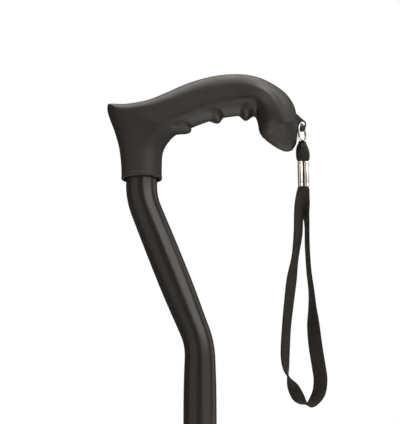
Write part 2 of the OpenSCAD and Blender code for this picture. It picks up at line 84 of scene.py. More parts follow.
def make_camera():
    data = bpy.data.cameras.new("camera")
    data.sensor_fit = "HORIZONTAL"
    data.lens = data.sensor_width * VIEW_DISTANCE / VIEW_WIDTH
    data.clip_start = 0.01
    camera = bpy.data.objects.new("camera", data)
    ahead = Vector((0, math.cos(VIEW_ELEVATION), -math.sin(VIEW_ELEVATION)))
    camera.location = VIEW_AIM - ahead * VIEW_DISTANCE
    camera.rotation_euler = ahead.to_track_quat("-Z", "Y").to_euler()
    bpy.context.scene.collection.objects.link(camera)
    bpy.context.scene.camera = camera


make_camera()

# ---- Curves ----


def smooth_rows(rows, steps):
    """A smooth curve through rows of numbers, with that many steps from each row to the next."""
    rows = np.array(rows, float)
    out = []
    last = len(rows) - 1
    for i in range(last):
        a, b, c, d = rows[max(i - 1, 0)], rows[i], rows[i + 1], rows[min(i + 2, last)]
        for s in range(steps):
            t = s / steps
            out.append(0.5 * (2 * b + (c - a) * t + (2 * a - 5 * b + 4 * c - d) * t ** 2
                              + (3 * b - a - 3 * c + d) * t ** 3))
    out.append(rows[-1])
    return np.array(out)


def smooth_step(x, low, high):
    """0 up to low, 1 from high on, and an even S between."""
    t = np.clip((x - low) / (high - low), 0, 1)
    return t * t * (3 - 2 * t)


def rounded(corners, radius, steps=4, closed=False):
    """A polyline with its corners rounded. A corner may carry its own radius as a third number."""
    out = []
    n = len(corners)
    for i, corner in enumerate(corners):
        here = Vector(corner[:2])
        if not closed and i in (0, n - 1):
            out.append(tuple(here))
            continue
        before = Vector(corners[i - 1][:2]) - here
        after = Vector(corners[(i + 1) % n][:2]) - here
        r = corner[2] if len(corner) > 2 else radius
        turn = before.angle(after, math.pi)
        reach = min(r / max(math.tan(turn / 2), 1e-6), 0.45 * before.length, 0.45 * after.length)
        if reach < 1e-7:
            out.append(tuple(here))
            continue
        p0 = here + before.normalized() * reach
        p1 = here + after.normalized() * reach
        for s in range(steps + 1):
            t = s / steps
            out.append(tuple(p0 * (1 - t) ** 2 + here * 2 * t * (1 - t) + p1 * t ** 2))
    return out


def heading(path, i):
    """The way a path goes at one of its points, from the point before to the point after."""
    return Vector(path[min(i + 1, len(path) - 1)]) - Vector(path[max(i - 1, 0)])


def distances(path):
    """How far along a path each of its points lies."""
    out = [0.0]
    for a, b in zip(path, path[1:]):
        out.append(out[-1] + (b - a).length)
    return out


# ---- Meshes ----


def new_object(name, points, faces, sharp_angle=40, uvs=None):
    """A mesh object with smooth shading, except across edges sharper than sharp_angle degrees."""
    mesh = bpy.data.meshes.new(name)
    mesh.from_pydata([tuple(p) for p in points], [], faces)
    if uvs is not None:
        layer = mesh.uv_layers.new(name="uv")
        for loop in mesh.loops:
            layer.data[loop.index].uv = uvs[loop.vertex_index]
    mesh.validate()
    obj = bpy.data.objects.new(name, mesh)
    bpy.context.scene.collection.objects.link(obj)
    clean(obj, sharp_angle)
    return obj


def clean(obj, sharp_angle=40):
    """Merges doubled points, turns the faces outwards and marks the sharp edges."""
    work = bmesh.new()
    work.from_mesh(obj.data)
    bmesh.ops.remove_doubles(work, verts=work.verts, dist=1e-7)
    bmesh.ops.recalc_face_normals(work, faces=work.faces)
    limit = math.radians(sharp_angle)
    for face in work.faces:
        face.smooth = True
    for edge in work.edges:
        edge.smooth = len(edge.link_faces) == 2 and edge.calc_face_angle(0) < limit
    work.to_mesh(obj.data)
    work.free()


def grid_faces(rows, columns, wrap_rows=False):
    """Quads over closed rows of points. With wrap_rows the last row joins the first."""
    faces = []
    for i in range(rows if wrap_rows else rows - 1):
        here, above = i * columns, (i + 1) % rows * columns
        for j in range(columns):
            k = (j + 1) % columns
            faces.append((here + j, here + k, above + k, above + j))
    return faces


def end_faces(rows, columns):
    """The two faces that close a grid's first and last row."""
    return [tuple(reversed(range(columns))), tuple((rows - 1) * columns + j for j in range(columns))]


def lathe(name, profile, segments=96, frame_matrix=Matrix.Identity(4), closed=False, sharp_angle=40,
          radius_at=None):
    """Turns (radius, height) points about Z, as a solid or, closed, as a ring of that section.
    radius_at(r, z, angle) can change the radius round the turn."""
    profile = list(profile)
    points = []
    for r, z in profile:
        for j in range(segments):
            a = TAU * j / segments
            k = radius_at(r, z, a) if radius_at else r
            points.append(frame_matrix @ Vector((k * math.cos(a), k * math.sin(a), z)))
    faces = grid_faces(len(profile), segments, wrap_rows=closed)
    if not closed:
        for row, (r, _) in ((0, profile[0]), (len(profile) - 1, profile[-1])):
            if r > 1e-6:
                faces.append(tuple(row * segments + j for j in range(segments)))
    return new_object(name, points, faces, sharp_angle)


def path_frames(path):
    """Along a path: points, and two crosswise directions that don't twist."""
    frames = []
    side = None
    for i, p in enumerate(path):
        ahead = heading(path, i).normalized()
        if side is None:
            side = ahead.orthogonal().normalized()
        side = (side - ahead * side.dot(ahead)).normalized()
        frames.append((p, side, ahead.cross(side)))
    return frames


def pipe(name, path, profile, sides=64, pinch_at=None):
    """A skin round a path. profile is a closed loop of (place, radius) rows, and place counts along the path.
    pinch_at(p) is how much narrower the skin is there in the plane of its bends."""
    frames = path_frames(path)
    lengths = distances(path)
    points = []
    for place, radius in profile:
        place = min(max(place, 0), lengths[-1])
        i = min(max(int(np.searchsorted(lengths, place)) - 1, 0), len(frames) - 2)
        t = (place - lengths[i]) / (lengths[i + 1] - lengths[i])
        p = frames[i][0].lerp(frames[i + 1][0], t)
        u = frames[i][1].lerp(frames[i + 1][1], t).normalized()
        v = frames[i][2].lerp(frames[i + 1][2], t).normalized()
        pinch = pinch_at(p) if pinch_at else 0
        for j in range(sides):
            a = TAU * j / sides
            out = math.cos(a) * u + math.sin(a) * v
            out -= pinch * Vector((out.x, 0, out.z))
            points.append(p + radius * out)
    return new_object(name, points, grid_faces(len(profile), sides, wrap_rows=True))


def join(name, parts):
    """One object of several."""
    bpy.ops.object.select_all(action="DESELECT")
    for part in parts:
        part.select_set(True)
    bpy.context.view_layer.objects.active = parts[0]
    if len(parts) > 1:
        bpy.ops.object.join()
    parts[0].name = name
    parts[0].data.name = name
    return parts[0]


def finish_piece(obj, body, material, stands_for):
    """A finished piece gets its material, its body and the CAD node it stands for."""
    obj.data.materials.clear()
    obj.data.materials.append(material)
    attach(obj, body)
    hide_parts(stands_for)
    return obj


# ---- Materials ----


class Nodes:
    """Short calls for building a node tree."""

    def __init__(self, tree):
        self.tree = tree
        self.coordinates = tree.nodes.new("ShaderNodeTexCoord")

    def add(self, kind, inputs=None, **settings):
        node = self.tree.nodes.new("ShaderNode" + kind)
        for key, value in settings.items():
            setattr(node, key, value)
        for key, value in (inputs or {}).items():
            if isinstance(value, bpy.types.NodeSocket):
                self.tree.links.new(value, node.inputs[key])
            else:
                node.inputs[key].default_value = value
        return node

    def place(self, scale=(1, 1, 1)):
        """The object's own coordinates, stretched."""
        return self.add("Mapping", {"Vector": self.coordinates.outputs["Object"], "Scale": scale}).outputs[0]

    def noise(self, scale, detail=4, roughness=0.5, vector=None):
        return self.add("TexNoise", {"Vector": vector or self.place(), "Scale": scale, "Detail": detail,
                                     "Roughness": roughness}).outputs["Fac"]

    def ramp(self, value, *stops):
        """A colour ramp of (position, colour) stops. A number stands for a grey."""
        node = self.add("ValToRGB", {"Fac": value})
        elements = node.color_ramp.elements
        while len(elements) < len(stops):
            elements.new(0.5)
        for element, (position, color) in zip(elements, stops):
            element.position = position
            element.color = (color,) * 3 + (1,) if isinstance(color, (int, float)) else (*color, 1)
        return node.outputs[0]

    def drift(self, value, dark, light):
        """A colour that drifts between two tones with a noise."""
        return self.ramp(value, (0.3, dark), (0.7, light))

    def span(self, value, low, high, from_low=0.3, from_high=0.7):
        """A value's range stretched to another: by default, the middle range of a noise."""
        return self.add("MapRange", {"Value": value, "From Min": from_low, "From Max": from_high,
                                     "To Min": low, "To Max": high}).outputs[0]

    def math(self, operation, a, b=0.0):
        return self.add("Math", {0: a, 1: b}, operation=operation).outputs[0]

    def mix(self, share, a, b):
        """A share of colour b in colour a."""
        a, b = (color if isinstance(color, bpy.types.NodeSocket) else (*color, 1) for color in (a, b))
        return self.add("Mix", {0: share, 6: a, 7: b}, data_type="RGBA").outputs[2]

    def soft_step(self, value, edge, blur):
        """0 below an edge and 1 above it, with a soft change between."""
        return self.add("MapRange", {"Value": value, "From Min": edge - blur, "From Max": edge + blur},
                        interpolation_type="SMOOTHSTEP").outputs[0]


class Shader(Nodes):
    """A node material round one Principled BSDF."""

    def __init__(self, name, **values):
        self.material = bpy.data.materials.new(name)
        self.material.use_nodes = True
        super().__init__(self.material.node_tree)
        self.bsdf = self.tree.nodes["Principled BSDF"]
        for key, value in values.items():
            self.bsdf.inputs[key.replace("_", " ")].default_value = value

    def bump(self, height, strength, distance, **more):
        more.update({"Height": height, "Strength": strength, "Distance": distance})
        return self.add("Bump", more).outputs[0]

    def set(self, **links):
        for key, value in links.items():
            self.tree.links.new(value, self.bsdf.inputs[key.replace("_", " ")])
        return self.material


def scaled(color, factor):
    return tuple(c * factor for c in color)


def soft_touch_material():
    """Moulded soft rubber: warm black, finely grained, rubbed smoother where the hand goes."""
    s = Shader("soft_touch_rubber", Specular_IOR_Level=0.3)
    handled = s.noise(60, 5, 0.6)
    color = s.drift(s.noise(26, 3), (0.013, 0.0118, 0.0106), (0.018, 0.0164, 0.0148))
    color = s.mix(s.span(handled, 0, 0.35, 0.55, 0.75), color, (0.028, 0.0255, 0.023))
    grain = s.bump(s.noise(2600, 2), 0.16, 0.0002)
    wavy = s.bump(s.noise(150, 2), 0.08, 0.001, Normal=grain)
    return s.set(Base_Color=color, Roughness=s.span(handled, 0.42, 0.56), Normal=wavy)


def gloss_coat_material(name, tone=1.0, roughness=0.2):
    """Baked gloss coat on tube: faint orange peel, dust and fine rub marks."""
    s = Shader(name, Coat_Weight=0.21, Coat_Roughness=0.06, Specular_IOR_Level=0.25)
    dust = s.noise(900, 6, 0.7)
    rubs = s.noise(3, 6, 0.65, s.place((220, 220, 6)))
    base = s.drift(s.noise(14, 3), scaled((0.012, 0.0112, 0.0105), tone), scaled((0.016, 0.015, 0.014), tone))
    color = s.mix(s.span(dust, 0, 0.5, 0.62, 0.8), base, (0.03, 0.029, 0.027))
    rough = s.math("ADD", s.span(rubs, roughness - 0.05, roughness + 0.09, 0.35, 0.65),
                   s.span(dust, 0, 0.12, 0.6, 0.8))
    return s.set(Base_Color=color, Roughness=rough, Normal=s.bump(s.noise(420, 2), 0.05, 0.0004))


def chrome_material(name, roughness=0.1, tone=1.0):
    """Nickel plate with faint streaks and pinprick pits."""
    s = Shader(name, Metallic=1.0)
    streaks = s.noise(5, 5, 0.6, s.place((900, 900, 60)))
    pits = s.noise(2200, 3, 0.7)
    color = s.ramp(streaks, (0.25, scaled((0.66, 0.65, 0.62), tone)),
                   (0.75, scaled((0.86, 0.85, 0.82), tone)))
    rough = s.math("ADD", s.span(streaks, roughness - 0.03, roughness + 0.08),
                   s.span(pits, 0, 0.15, 0.62, 0.75))
    return s.set(Base_Color=color, Roughness=rough, Normal=s.bump(pits, 0.03, 0.0001))


def webbing_material():
    """Narrow woven tape. The uv map runs across the tape from 0 to 1 and along it in metres."""
    picks, ends = 0.55 * MM, 13
    s = Shader("woven_tape", Sheen_Weight=0.08, Sheen_Roughness=0.5, Specular_IOR_Level=0.2)
    s.bsdf.inputs["Sheen Tint"].default_value = (0.5, 0.47, 0.43, 1)
    split = s.add("SeparateXYZ", {"Vector": s.coordinates.outputs["UV"]})
    across, along = split.outputs[0], split.outputs[1]
    warp = s.math("SINE", s.math("MULTIPLY", across, TAU * ends / 2))
    slant = s.math("ADD", s.math("MULTIPLY", along, TAU / picks), s.math("MULTIPLY", warp, 1.4))
    weft = s.math("SINE", slant)
    crown = s.math("ABSOLUTE", warp)
    cell = s.math("MULTIPLY", s.span(weft, 0.3, 1, -1, 1), s.span(crown, 0.35, 1, 0, 1))
    fuzz = s.noise(5200, 3)
    # The yarn colour follows the weave's height: painted shade, near black in the hollows between yarns and
    # lighter on their crowns.
    yarn_and_painted_shade = s.ramp(cell, (0.05, (0.004, 0.0035, 0.003)), (0.55, (0.010, 0.009, 0.008)),
                  (1.0, (0.022, 0.0195, 0.0175)))
    color = s.mix(s.span(s.noise(70, 3), 0, 0.5, 0.45, 0.75), yarn_and_painted_shade, (0.018, 0.016, 0.014))
    height = s.math("ADD", cell, s.math("MULTIPLY", fuzz, 0.5))
    return s.set(Base_Color=color, Roughness=s.span(fuzz, 0.7, 0.92), Normal=s.bump(height, 0.9, 0.00022))


def moulded_plastic_material(name, color=(0.022, 0.022, 0.021), roughness=0.45, grain=1800):
    """Injection-moulded plastic with a spark-eroded grain and rubbed edges."""
    s = Shader(name, Specular_IOR_Level=0.5)
    rubbed = tuple(c * 1.7 + 0.01 for c in color)
    base = s.drift(s.noise(40, 3), color, scaled(color, 1.25))
    on_edges = s.span(s.add("NewGeometry").outputs["Pointiness"], 0, 1, 0.524, 0.58)
    worn = s.math("MULTIPLY", on_edges, s.span(s.noise(380, 5, 0.7), 0, 1, 0.4, 0.65))
    rough = s.span(s.noise(90, 5, 0.6), roughness - 0.08, roughness + 0.12)
    return s.set(Base_Color=s.mix(worn, base, rubbed), Roughness=rough,
                 Normal=s.bump(s.noise(grain, 2), 0.12, 0.0002))


def rubber_material():
    """Tip rubber: dull black with a grey bloom, dusty near the floor."""
    s = Shader("tip_rubber", Specular_IOR_Level=0.3)
    base = s.drift(s.noise(55), (0.016, 0.016, 0.016), (0.03, 0.029, 0.028))
    height = s.add("SeparateXYZ", {"Vector": s.coordinates.outputs["Object"]}).outputs[2]
    low = s.span(height, 1, 0, 0, 0.012)
    dust = s.math("MULTIPLY", low, s.span(s.noise(420, 6, 0.7), 0, 0.8, 0.42, 0.7))
    color = s.mix(dust, base, (0.075, 0.07, 0.062))
    rough = s.span(s.noise(140), 0.62, 0.86)
    return s.set(Base_Color=color, Roughness=rough, Normal=s.bump(s.noise(1500, 3), 0.25, 0.0003))


def zinc_material(name="zinc_plate", color=(0.52, 0.53, 0.55), roughness=0.32):
    """Zinc-plated steel, cloudy, with turned streaks."""
    s = Shader(name, Metallic=1.0)
    base = s.drift(s.noise(300, 4, 0.6), scaled(color, 0.8), color)
    rough = s.span(s.noise(700, 5, 0.7), roughness - 0.08, roughness + 0.16)
    return s.set(Base_Color=base, Roughness=rough, Normal=s.bump(s.noise(1600, 2), 0.06, 0.0002))


def nylon_material():
    """Off-white moulded nylon, slightly translucent."""
    s = Shader("white_nylon", Subsurface_Weight=0.1, Subsurface_Scale=0.002, Specular_IOR_Level=0.45)
    base = s.drift(s.noise(60), (0.66, 0.65, 0.59), (0.76, 0.75, 0.70))
    rough = s.span(s.noise(200), 0.35, 0.5)
    return s.set(Base_Color=base, Roughness=rough, Normal=s.bump(s.noise(900, 2), 0.06, 0.0003))


def floor_material():
    """Pale studio floor, nearly even."""
    s = Shader("studio_floor", Specular_IOR_Level=0.2)
    return s.set(Base_Color=s.drift(s.noise(1.2, 3), 0.86, 0.9), Roughness=s.span(s.noise(5, 3), 0.6, 0.75))


SOFT_TOUCH = soft_touch_material()
SHAFT_COAT = gloss_coat_material("shaft_coat")
LEG_COAT = gloss_coat_material("leg_coat", 1.1, 0.24)
HUB_COAT = moulded_plastic_material("hub_coat", (0.02, 0.0195, 0.019), 0.36, 900)
# The ring's chrome is toned down to 0.6 of the ferrule's: painted shade for the dark reflections the wire ring
# shows.
SHADED_RING_CHROME = chrome_material("ring_chrome", 0.08, 0.6)
FERRULE_CHROME = chrome_material("ferrule_chrome", 0.12)
TAPE = webbing_material()
COLLAR_PLASTIC = moulded_plastic_material("collar_plastic")
COLLET_PLASTIC = moulded_plastic_material("collet_plastic", (0.026, 0.026, 0.025), 0.5)
CORE_PLASTIC = moulded_plastic_material("core_plastic", (0.018, 0.018, 0.018), 0.55)
RUBBER = rubber_material()
ZINC = zinc_material()
SPRING_STEEL = zinc_material("spring_steel", (0.46, 0.47, 0.5), 0.26)
BUTTON_STEEL = zinc_material("button_steel", (0.66, 0.66, 0.66), 0.16)
NYLON = nylon_material()

# ---- Wrist strap: the cord comes first ----

TAPE_WIDTH = 9.5 * MM
TAPE_THICK = 1.1 * MM
CRIMPED_WIDTH = 6.2 * MM

# The loop's centreline in millimetres from the ferrule's lower mouth, down its left side and up its right:
# x, y, z, and the turn of the tape's face from the XZ plane in degrees.
# The first and last point are inside the ferrule.
LOOP_ROUTE = [
    (0, -0.6, 9, 0), (0, -0.6, 0, 0), (-1.8, -0.8, -8.8, 20), (-3.9, -1.5, -20.5, 45),
    (-4.8, -2.5, -34, 50), (-7.2, -3.5, -50.5, 60), (-9.8, -4, -65.8, 44), (-11.9, -4, -81.2, 46),
    (-13.9, -4, -98.3, 50), (-15, -3.5, -115.4, 50), (-14.6, -3, -124.8, 62), (-13, -2.4, -131.4, 90),
    (-9.6, -1.5, -138.4, 135), (-6.6, -0.5, -144, 140), (-2.6, 0.5, -148.4, 100), (1.2, 1.5, -149.3, 68),
    (4.9, 2.2, -146, 46), (7.9, 2.8, -140.4, 26), (9, 3.2, -132.3, 18), (8.1, 3.5, -123.9, 14),
    (6.2, 4, -109.7, 16), (5.1, 4, -96.4, 34), (4.7, 3.8, -85, 62), (4.2, 3.5, -72.5, 76),
    (2.7, 3, -58.2, 80), (1.9, 2.2, -40.8, 80), (1.9, 1.5, -26.3, 79), (1.1, 1, -17.6, 66),
    (-0.2, 0.7, -8.8, 25), (0, 0.6, 0, 0), (0, 0.6, 9, 0),
]
# How the tape widens below the ferrule: shares of the whole, and the millimetres that each takes.
TAPE_SPREAD = [(0.6, 1.2), (0.4, 14)]
TAPE_CUP = 0.25 * MM
TAPE_EDGE = 0.045
TAPE_EDGE_STEPS = 4

# The tape's upper fold: half the distance between its layers in the ferrule, its clearance round the wire
# and how much more it has above it, how far its sides bulge, and its width: at first, how much more halfway
# and how much less at the wire.
FOLD_LAYER = 0.6 * MM
FOLD_CLEARANCE, FOLD_RISE = 0.5 * MM, 0.35 * MM
FOLD_BULGE = 0.9 * MM
FOLD_WIDTH, FOLD_SWELL, FOLD_PINCH = 8.2 * MM, 1.2 * MM, 3.5 * MM
FOLD_ROWS, FOLD_CLAMPED_ROWS, FOLD_TURN_ROWS = 22, 3, 20

# The ferrule in millimetres: its barrels' place, radius, how far each goes round in degrees and in steps; the
# groove between them; and, from inside each mouth, heights with the section's two scales there.
BARREL_X, BARREL_R, BARREL_ARC, BARREL_STEPS = 2.0, 1.95, 136, 14
CRIMP_X, CRIMP_Y, CRIMP_LIP = 0.4, 1.0, 0.04
FERRULE_END = [(0.6, 0.72, 0.66), (0.0, 0.74, 0.66), (0.0, 0.86, 0.86), (0.12, 0.94, 0.94),
               (0.35, 0.995, 0.995), (0.7, 1.0, 1.0), (1.5, 1.0, 1.0), (1.75, 0.975, 0.975),
               (2.05, 0.975, 0.975), (2.3, 1.0, 1.0)]
FERRULE_WAIST = 1.012


def tape_section():
    """The tape's section, as shares of its half width and half thickness: two round edges and two flats."""
    section = []
    for side in (1, -1):
        for k in range(-TAPE_EDGE_STEPS, TAPE_EDGE_STEPS + 1):
            a = math.radians(90 * k / TAPE_EDGE_STEPS)
            section.append((side * (1 - TAPE_EDGE * (1 - math.cos(a))), side * math.sin(a)))
        section += [(side * (1 - TAPE_EDGE) * (1 - k / 3), side) for k in range(1, 6)]
    return section


def tape_mesh(name, points, sideways, widths, cup=0.0):
    """A woven tape along points, cupped a little across."""
    section = tape_section()
    travelled = distances(points)
    verts, uvs = [], []
    for i, p in enumerate(points):
        ahead = heading(points, i).normalized()
        side = Vector(sideways[i])
        side = (side - ahead * side.dot(ahead)).normalized()
        up = ahead.cross(side)
        for across, thick in section:
            bow = cup * (1 - across * across)
            verts.append(p + side * across * widths[i] / 2 + up * (thick * TAPE_THICK / 2 + bow))
            uvs.append((across / 2 + 0.5, travelled[i]))
    size = len(points), len(section)
    return new_object(name, verts, grid_faces(*size) + end_faces(*size), 60, uvs)


def make_wrist_strap():
    rows = smooth_rows(LOOP_ROUTE, 8)
    points = [FERRULE + Vector(row[:3]) * MM for row in rows]
    sideways, widths = [], []
    for i, row in enumerate(rows):
        ahead = heading(points, i)
        flat = math.hypot(ahead.x, ahead.z)
        turn = math.radians(row[3])
        sideways.append((-ahead.z / flat * math.cos(turn), math.sin(turn), ahead.x / flat * math.cos(turn)))
        spread = sum(share * min(1, max(0, -row[2] / within)) for share, within in TAPE_SPREAD)
        widths.append(CRIMPED_WIDTH + (TAPE_WIDTH - CRIMPED_WIDTH) * spread)
    strap = tape_mesh("wrist_strap_webbing", points, sideways, widths, TAPE_CUP)
    return finish_piece(strap, "strap", TAPE, "wrist_strap"), points


def make_top_loop():
    """The tape's upper fold: out of the ferrule, over the ring's wire and back."""
    turn = math.radians(90) - math.atan2(RING_AXIS.x, RING_AXIS.y)
    wire = RING - Vector((0, 0, RING_R)) - FERRULE
    fold_r = RING_WIRE_R + FOLD_CLEARANCE + TAPE_THICK / 2
    legs = []
    for i in range(FOLD_ROWS):
        share = max(0.0, (i - FOLD_CLAMPED_ROWS) / (FOLD_ROWS - FOLD_CLAMPED_ROWS))
        height = FERRULE_HEIGHT + (wire.z - FERRULE_HEIGHT) * share
        if i < FOLD_CLAMPED_ROWS:
            height = FERRULE_HEIGHT * (1 + i / FOLD_CLAMPED_ROWS) / 2
        legs.append((share, height, 1.0))
    over = [(1.0, wire.z + (fold_r + FOLD_RISE) * math.sin(a), math.cos(a))
            for a in (math.pi * k / FOLD_TURN_ROWS for k in range(FOLD_TURN_ROWS + 1))]
    points, sideways, widths = [], [], []
    for share, height, out in legs + over + [(s, h, -1.0) for s, h, _ in reversed(legs)]:
        ease = share * share * (3 - 2 * share)
        yaw = turn * ease
        gap = out * (FOLD_LAYER + (fold_r - FOLD_LAYER) * ease
                     + FOLD_BULGE * math.sin(math.pi * share ** 1.5))
        points.append(FERRULE + Vector((wire.x * ease + gap * math.sin(yaw), -gap * math.cos(yaw), height)))
        sideways.append((math.cos(yaw), math.sin(yaw), 0))
        free = float(smooth_step((height - FERRULE_HEIGHT) / MM, 0.1, 1.2))
        full = FOLD_WIDTH + FOLD_SWELL * math.sin(math.pi * share) - FOLD_PINCH * share ** 6
        widths.append(CRIMPED_WIDTH + (full - CRIMPED_WIDTH) * free)
    loop = tape_mesh("strap_fold_webbing", points, sideways, widths)
    return finish_piece(loop, "strap", TAPE, "strap_top_loop")


def make_ferrule():
    """Two barrels side by side, crimped on the tape's four layers, with a groove between and rolled ends."""
    outline = []
    for side in (1, -1):
        for k in range(-BARREL_STEPS, BARREL_STEPS + 1):
            a = math.radians(BARREL_ARC * k / BARREL_STEPS)
            outline.append((side * (BARREL_X + BARREL_R * math.cos(a)), side * BARREL_R * math.sin(a)))
        outline += [(side * x, side * y) for x, y in
                    ((CRIMP_X, CRIMP_Y + CRIMP_LIP), (0, CRIMP_Y), (-CRIMP_X, CRIMP_Y + CRIMP_LIP))]
    height = FERRULE_HEIGHT / MM
    rows = FERRULE_END + [(height / 2, FERRULE_WAIST, FERRULE_WAIST)]
    rows += [(height - z, wide, thick) for z, wide, thick in reversed(FERRULE_END)]
    verts = [FERRULE + Vector((x * wide, y * thick, z)) * MM for z, wide, thick in rows for x, y in outline]
    size = len(rows), len(outline)
    ferrule = new_object("crimp_ferrule", verts, grid_faces(*size) + end_faces(*size), 50)
    return finish_piece(ferrule, "strap", FERRULE_CHROME, "strap_ferrule")


def make_ring():
    """Bright wire ring, with the hairline where its ends are butted."""
    across = RING_AXIS.normalized()
    normal = across.cross(Vector((0, 0, 1)))
    around, round_wire = 160, 20
    butt = {0: 0.86, 1: 0.97}
    verts = []
    for i in range(around):
        a = TAU * i / around
        out = across * math.cos(a) + Vector((0, 0, math.sin(a)))
        wire = RING_WIRE_R * butt.get(min(i, around - i), 1)
        for j in range(round_wire):
            b = TAU * j / round_wire
            verts.append(RING + out * (RING_R + wire * math.cos(b)) + normal * wire * math.sin(b))
    ring = new_object("wire_ring", verts, grid_faces(around, round_wire, wrap_rows=True), 60)
    # Its chrome carries painted shade: a darker copy of the ferrule's chrome.
    return finish_piece(ring, "ring", SHADED_RING_CHROME, "strap_ring")


wrist_strap, strap_path = make_wrist_strap()
top_loop = make_top_loop()
ferrule = make_ferrule()
make_ring()

# ---- Grip ----

# Cuts through the grip in millimetres, from its rim over the crown to the nose, in the XZ plane from the
# stem's axis at the rim: outer point, inner point, half width, then how deep the rounding reaches in from the
# outer edge and its power, and the same for the inner edge. A power of 2 is an ellipse, and less is flatter.
GRIP_CUTS = [
    (-14.1, 4, 14, 4, 14, 14, 2, 14, 2),
    (-14.4, 11, 14, 9, 14, 14, 2, 14, 2),
    (-16, 23, 14.4, 18, 14, 13.5, 2, 13.5, 2),
    (-19.1, 34, 16.4, 24, 14.3, 12, 2, 12, 2),
    (-23.2, 45, 19.8, 29, 15, 9.5, 2, 11, 1.95),
    (-24.7, 51.5, 22.3, 31.6, 15.5, 8, 2, 10.5, 1.9),
    (-22.6, 53.8, 25, 33.6, 15.5, 8, 2, 10, 1.9),
    (-11, 53.9, 28.5, 35.5, 15.5, 8.5, 2, 9.5, 1.85),
    (4, 56.9, 33.5, 37.5, 15.5, 9.5, 2, 9, 1.8),
    (17, 62.5, 39, 39.8, 15.3, 11, 2, 9, 1.8),
    (31, 69, 46, 42.4, 15, 12, 2, 9, 1.8),
    (45, 73.5, 54, 44.8, 15, 12.5, 2, 9, 1.8),
    (59, 75.9, 62, 46.2, 15.2, 13, 2, 9, 1.8),
    (72.1, 75.8, 70, 47.2, 15.6, 13, 2, 9, 1.8),
    (83.3, 73.5, 75.8, 47.8, 16.4, 15, 1.85, 8, 1.8),
    (93.5, 68.5, 79.4, 47, 17.5, 18.5, 1.72, 6, 1.75),
    (101.8, 61.8, 81.2, 42, 18.2, 21, 1.65, 6.5, 1.7),
    (106.8, 53.3, 82.2, 35.6, 17.8, 19, 1.75, 9, 1.6),
    (108.8, 44, 84.2, 31.4, 16.6, 14, 1.95, 10.5, 1.5),
    (109.1, 38.6, 86, 29.3, 16, 11.5, 2.1, 10.5, 1.5),
    (109, 33.5, 88.8, 27, 13, 11, 2.3, 10, 1.6),
    (107.9, 26, 94.2, 23.2, 9.5, 8, 2.4, 7.5, 1.8),
    (105.3, 21.5, 98.9, 20.9, 6.5, 5, 2.4, 4, 2),
]
GRIP_END = (102.4, 20.2)
GRIP_CUT_STEPS = 12
GRIP_AROUND = 112
# The rim round the tube: radius, height and rounding.
RIM = [(11.3, 3.1), (12.5, 3.1), (12.5, 0, 0.5), (14.15, 0, 0.9), (14.15, 2.4, 0.5), (13.9, 2.9, 0.4),
       (14, 3.5)]
SEAM_R, SEAM_DEPTH = 0.32 * MM, 0.22 * MM

# The finger knobs: place along the arm, height and half length. They lean back where they climb the sides.
KNOBS = [(30.6, 3.5, 4.5), (52.9, 3.2, 4.6), (74, 4, 5.7)]
KNOB_LEAN = 0.4
KNOB_POWER = 0.8
KNOB_SIDE_START, KNOB_SIDE_END = 7, 15

# Strokes that model the sides, seen from the side: from x, z to x, z, width, and how far they stand out.
STROKES = [
    (90, 45.5, 97, 44, 12.5, 2.5),
    (86, 29.6, 107.5, 36.8, 1.5, -0.6),
    (79.5, 51, 82.5, 42, 3, -0.6),
]


def distance_to_line(points, line):
    """Each point's distance to a polyline in the plane."""
    a, b = line[:-1], line[1:]
    step = b - a
    size = np.maximum((step ** 2).sum(1), 1e-12)
    t = np.clip(((points[:, None, :] - a[None]) * step[None]).sum(2) / size[None], 0, 1)
    near = a[None] + t[..., None] * step[None]
    return np.sqrt(((points[:, None, :] - near) ** 2).sum(2)).min(1)


def knob_lift(place, arc):
    """How far the knobs stand out at a place along the arm and a way round from the underside's middle."""
    lean = KNOB_LEAN * np.maximum(arc - KNOB_SIDE_START, 0)
    fade = 1 - smooth_step(arc, KNOB_SIDE_START + 1, KNOB_SIDE_END)
    lift = np.zeros_like(arc)
    for middle, height, half_length in KNOBS:
        off = np.clip(np.abs(place - middle + lean) / half_length, 0, 1)
        lift = np.maximum(lift, height * (0.5 + 0.5 * np.cos(np.pi * off)) ** KNOB_POWER)
    return lift * fade


def stroke_lift(spots):
    """How far the modelled strokes stand out at places seen from the side."""
    lift = np.zeros(len(spots))
    for x0, z0, x1, z1, width, height in STROKES:
        away = distance_to_line(spots, np.array([(x0, z0), (x1, z1)], float))
        lift += height * np.exp(-(away / width) ** 2)
    return lift


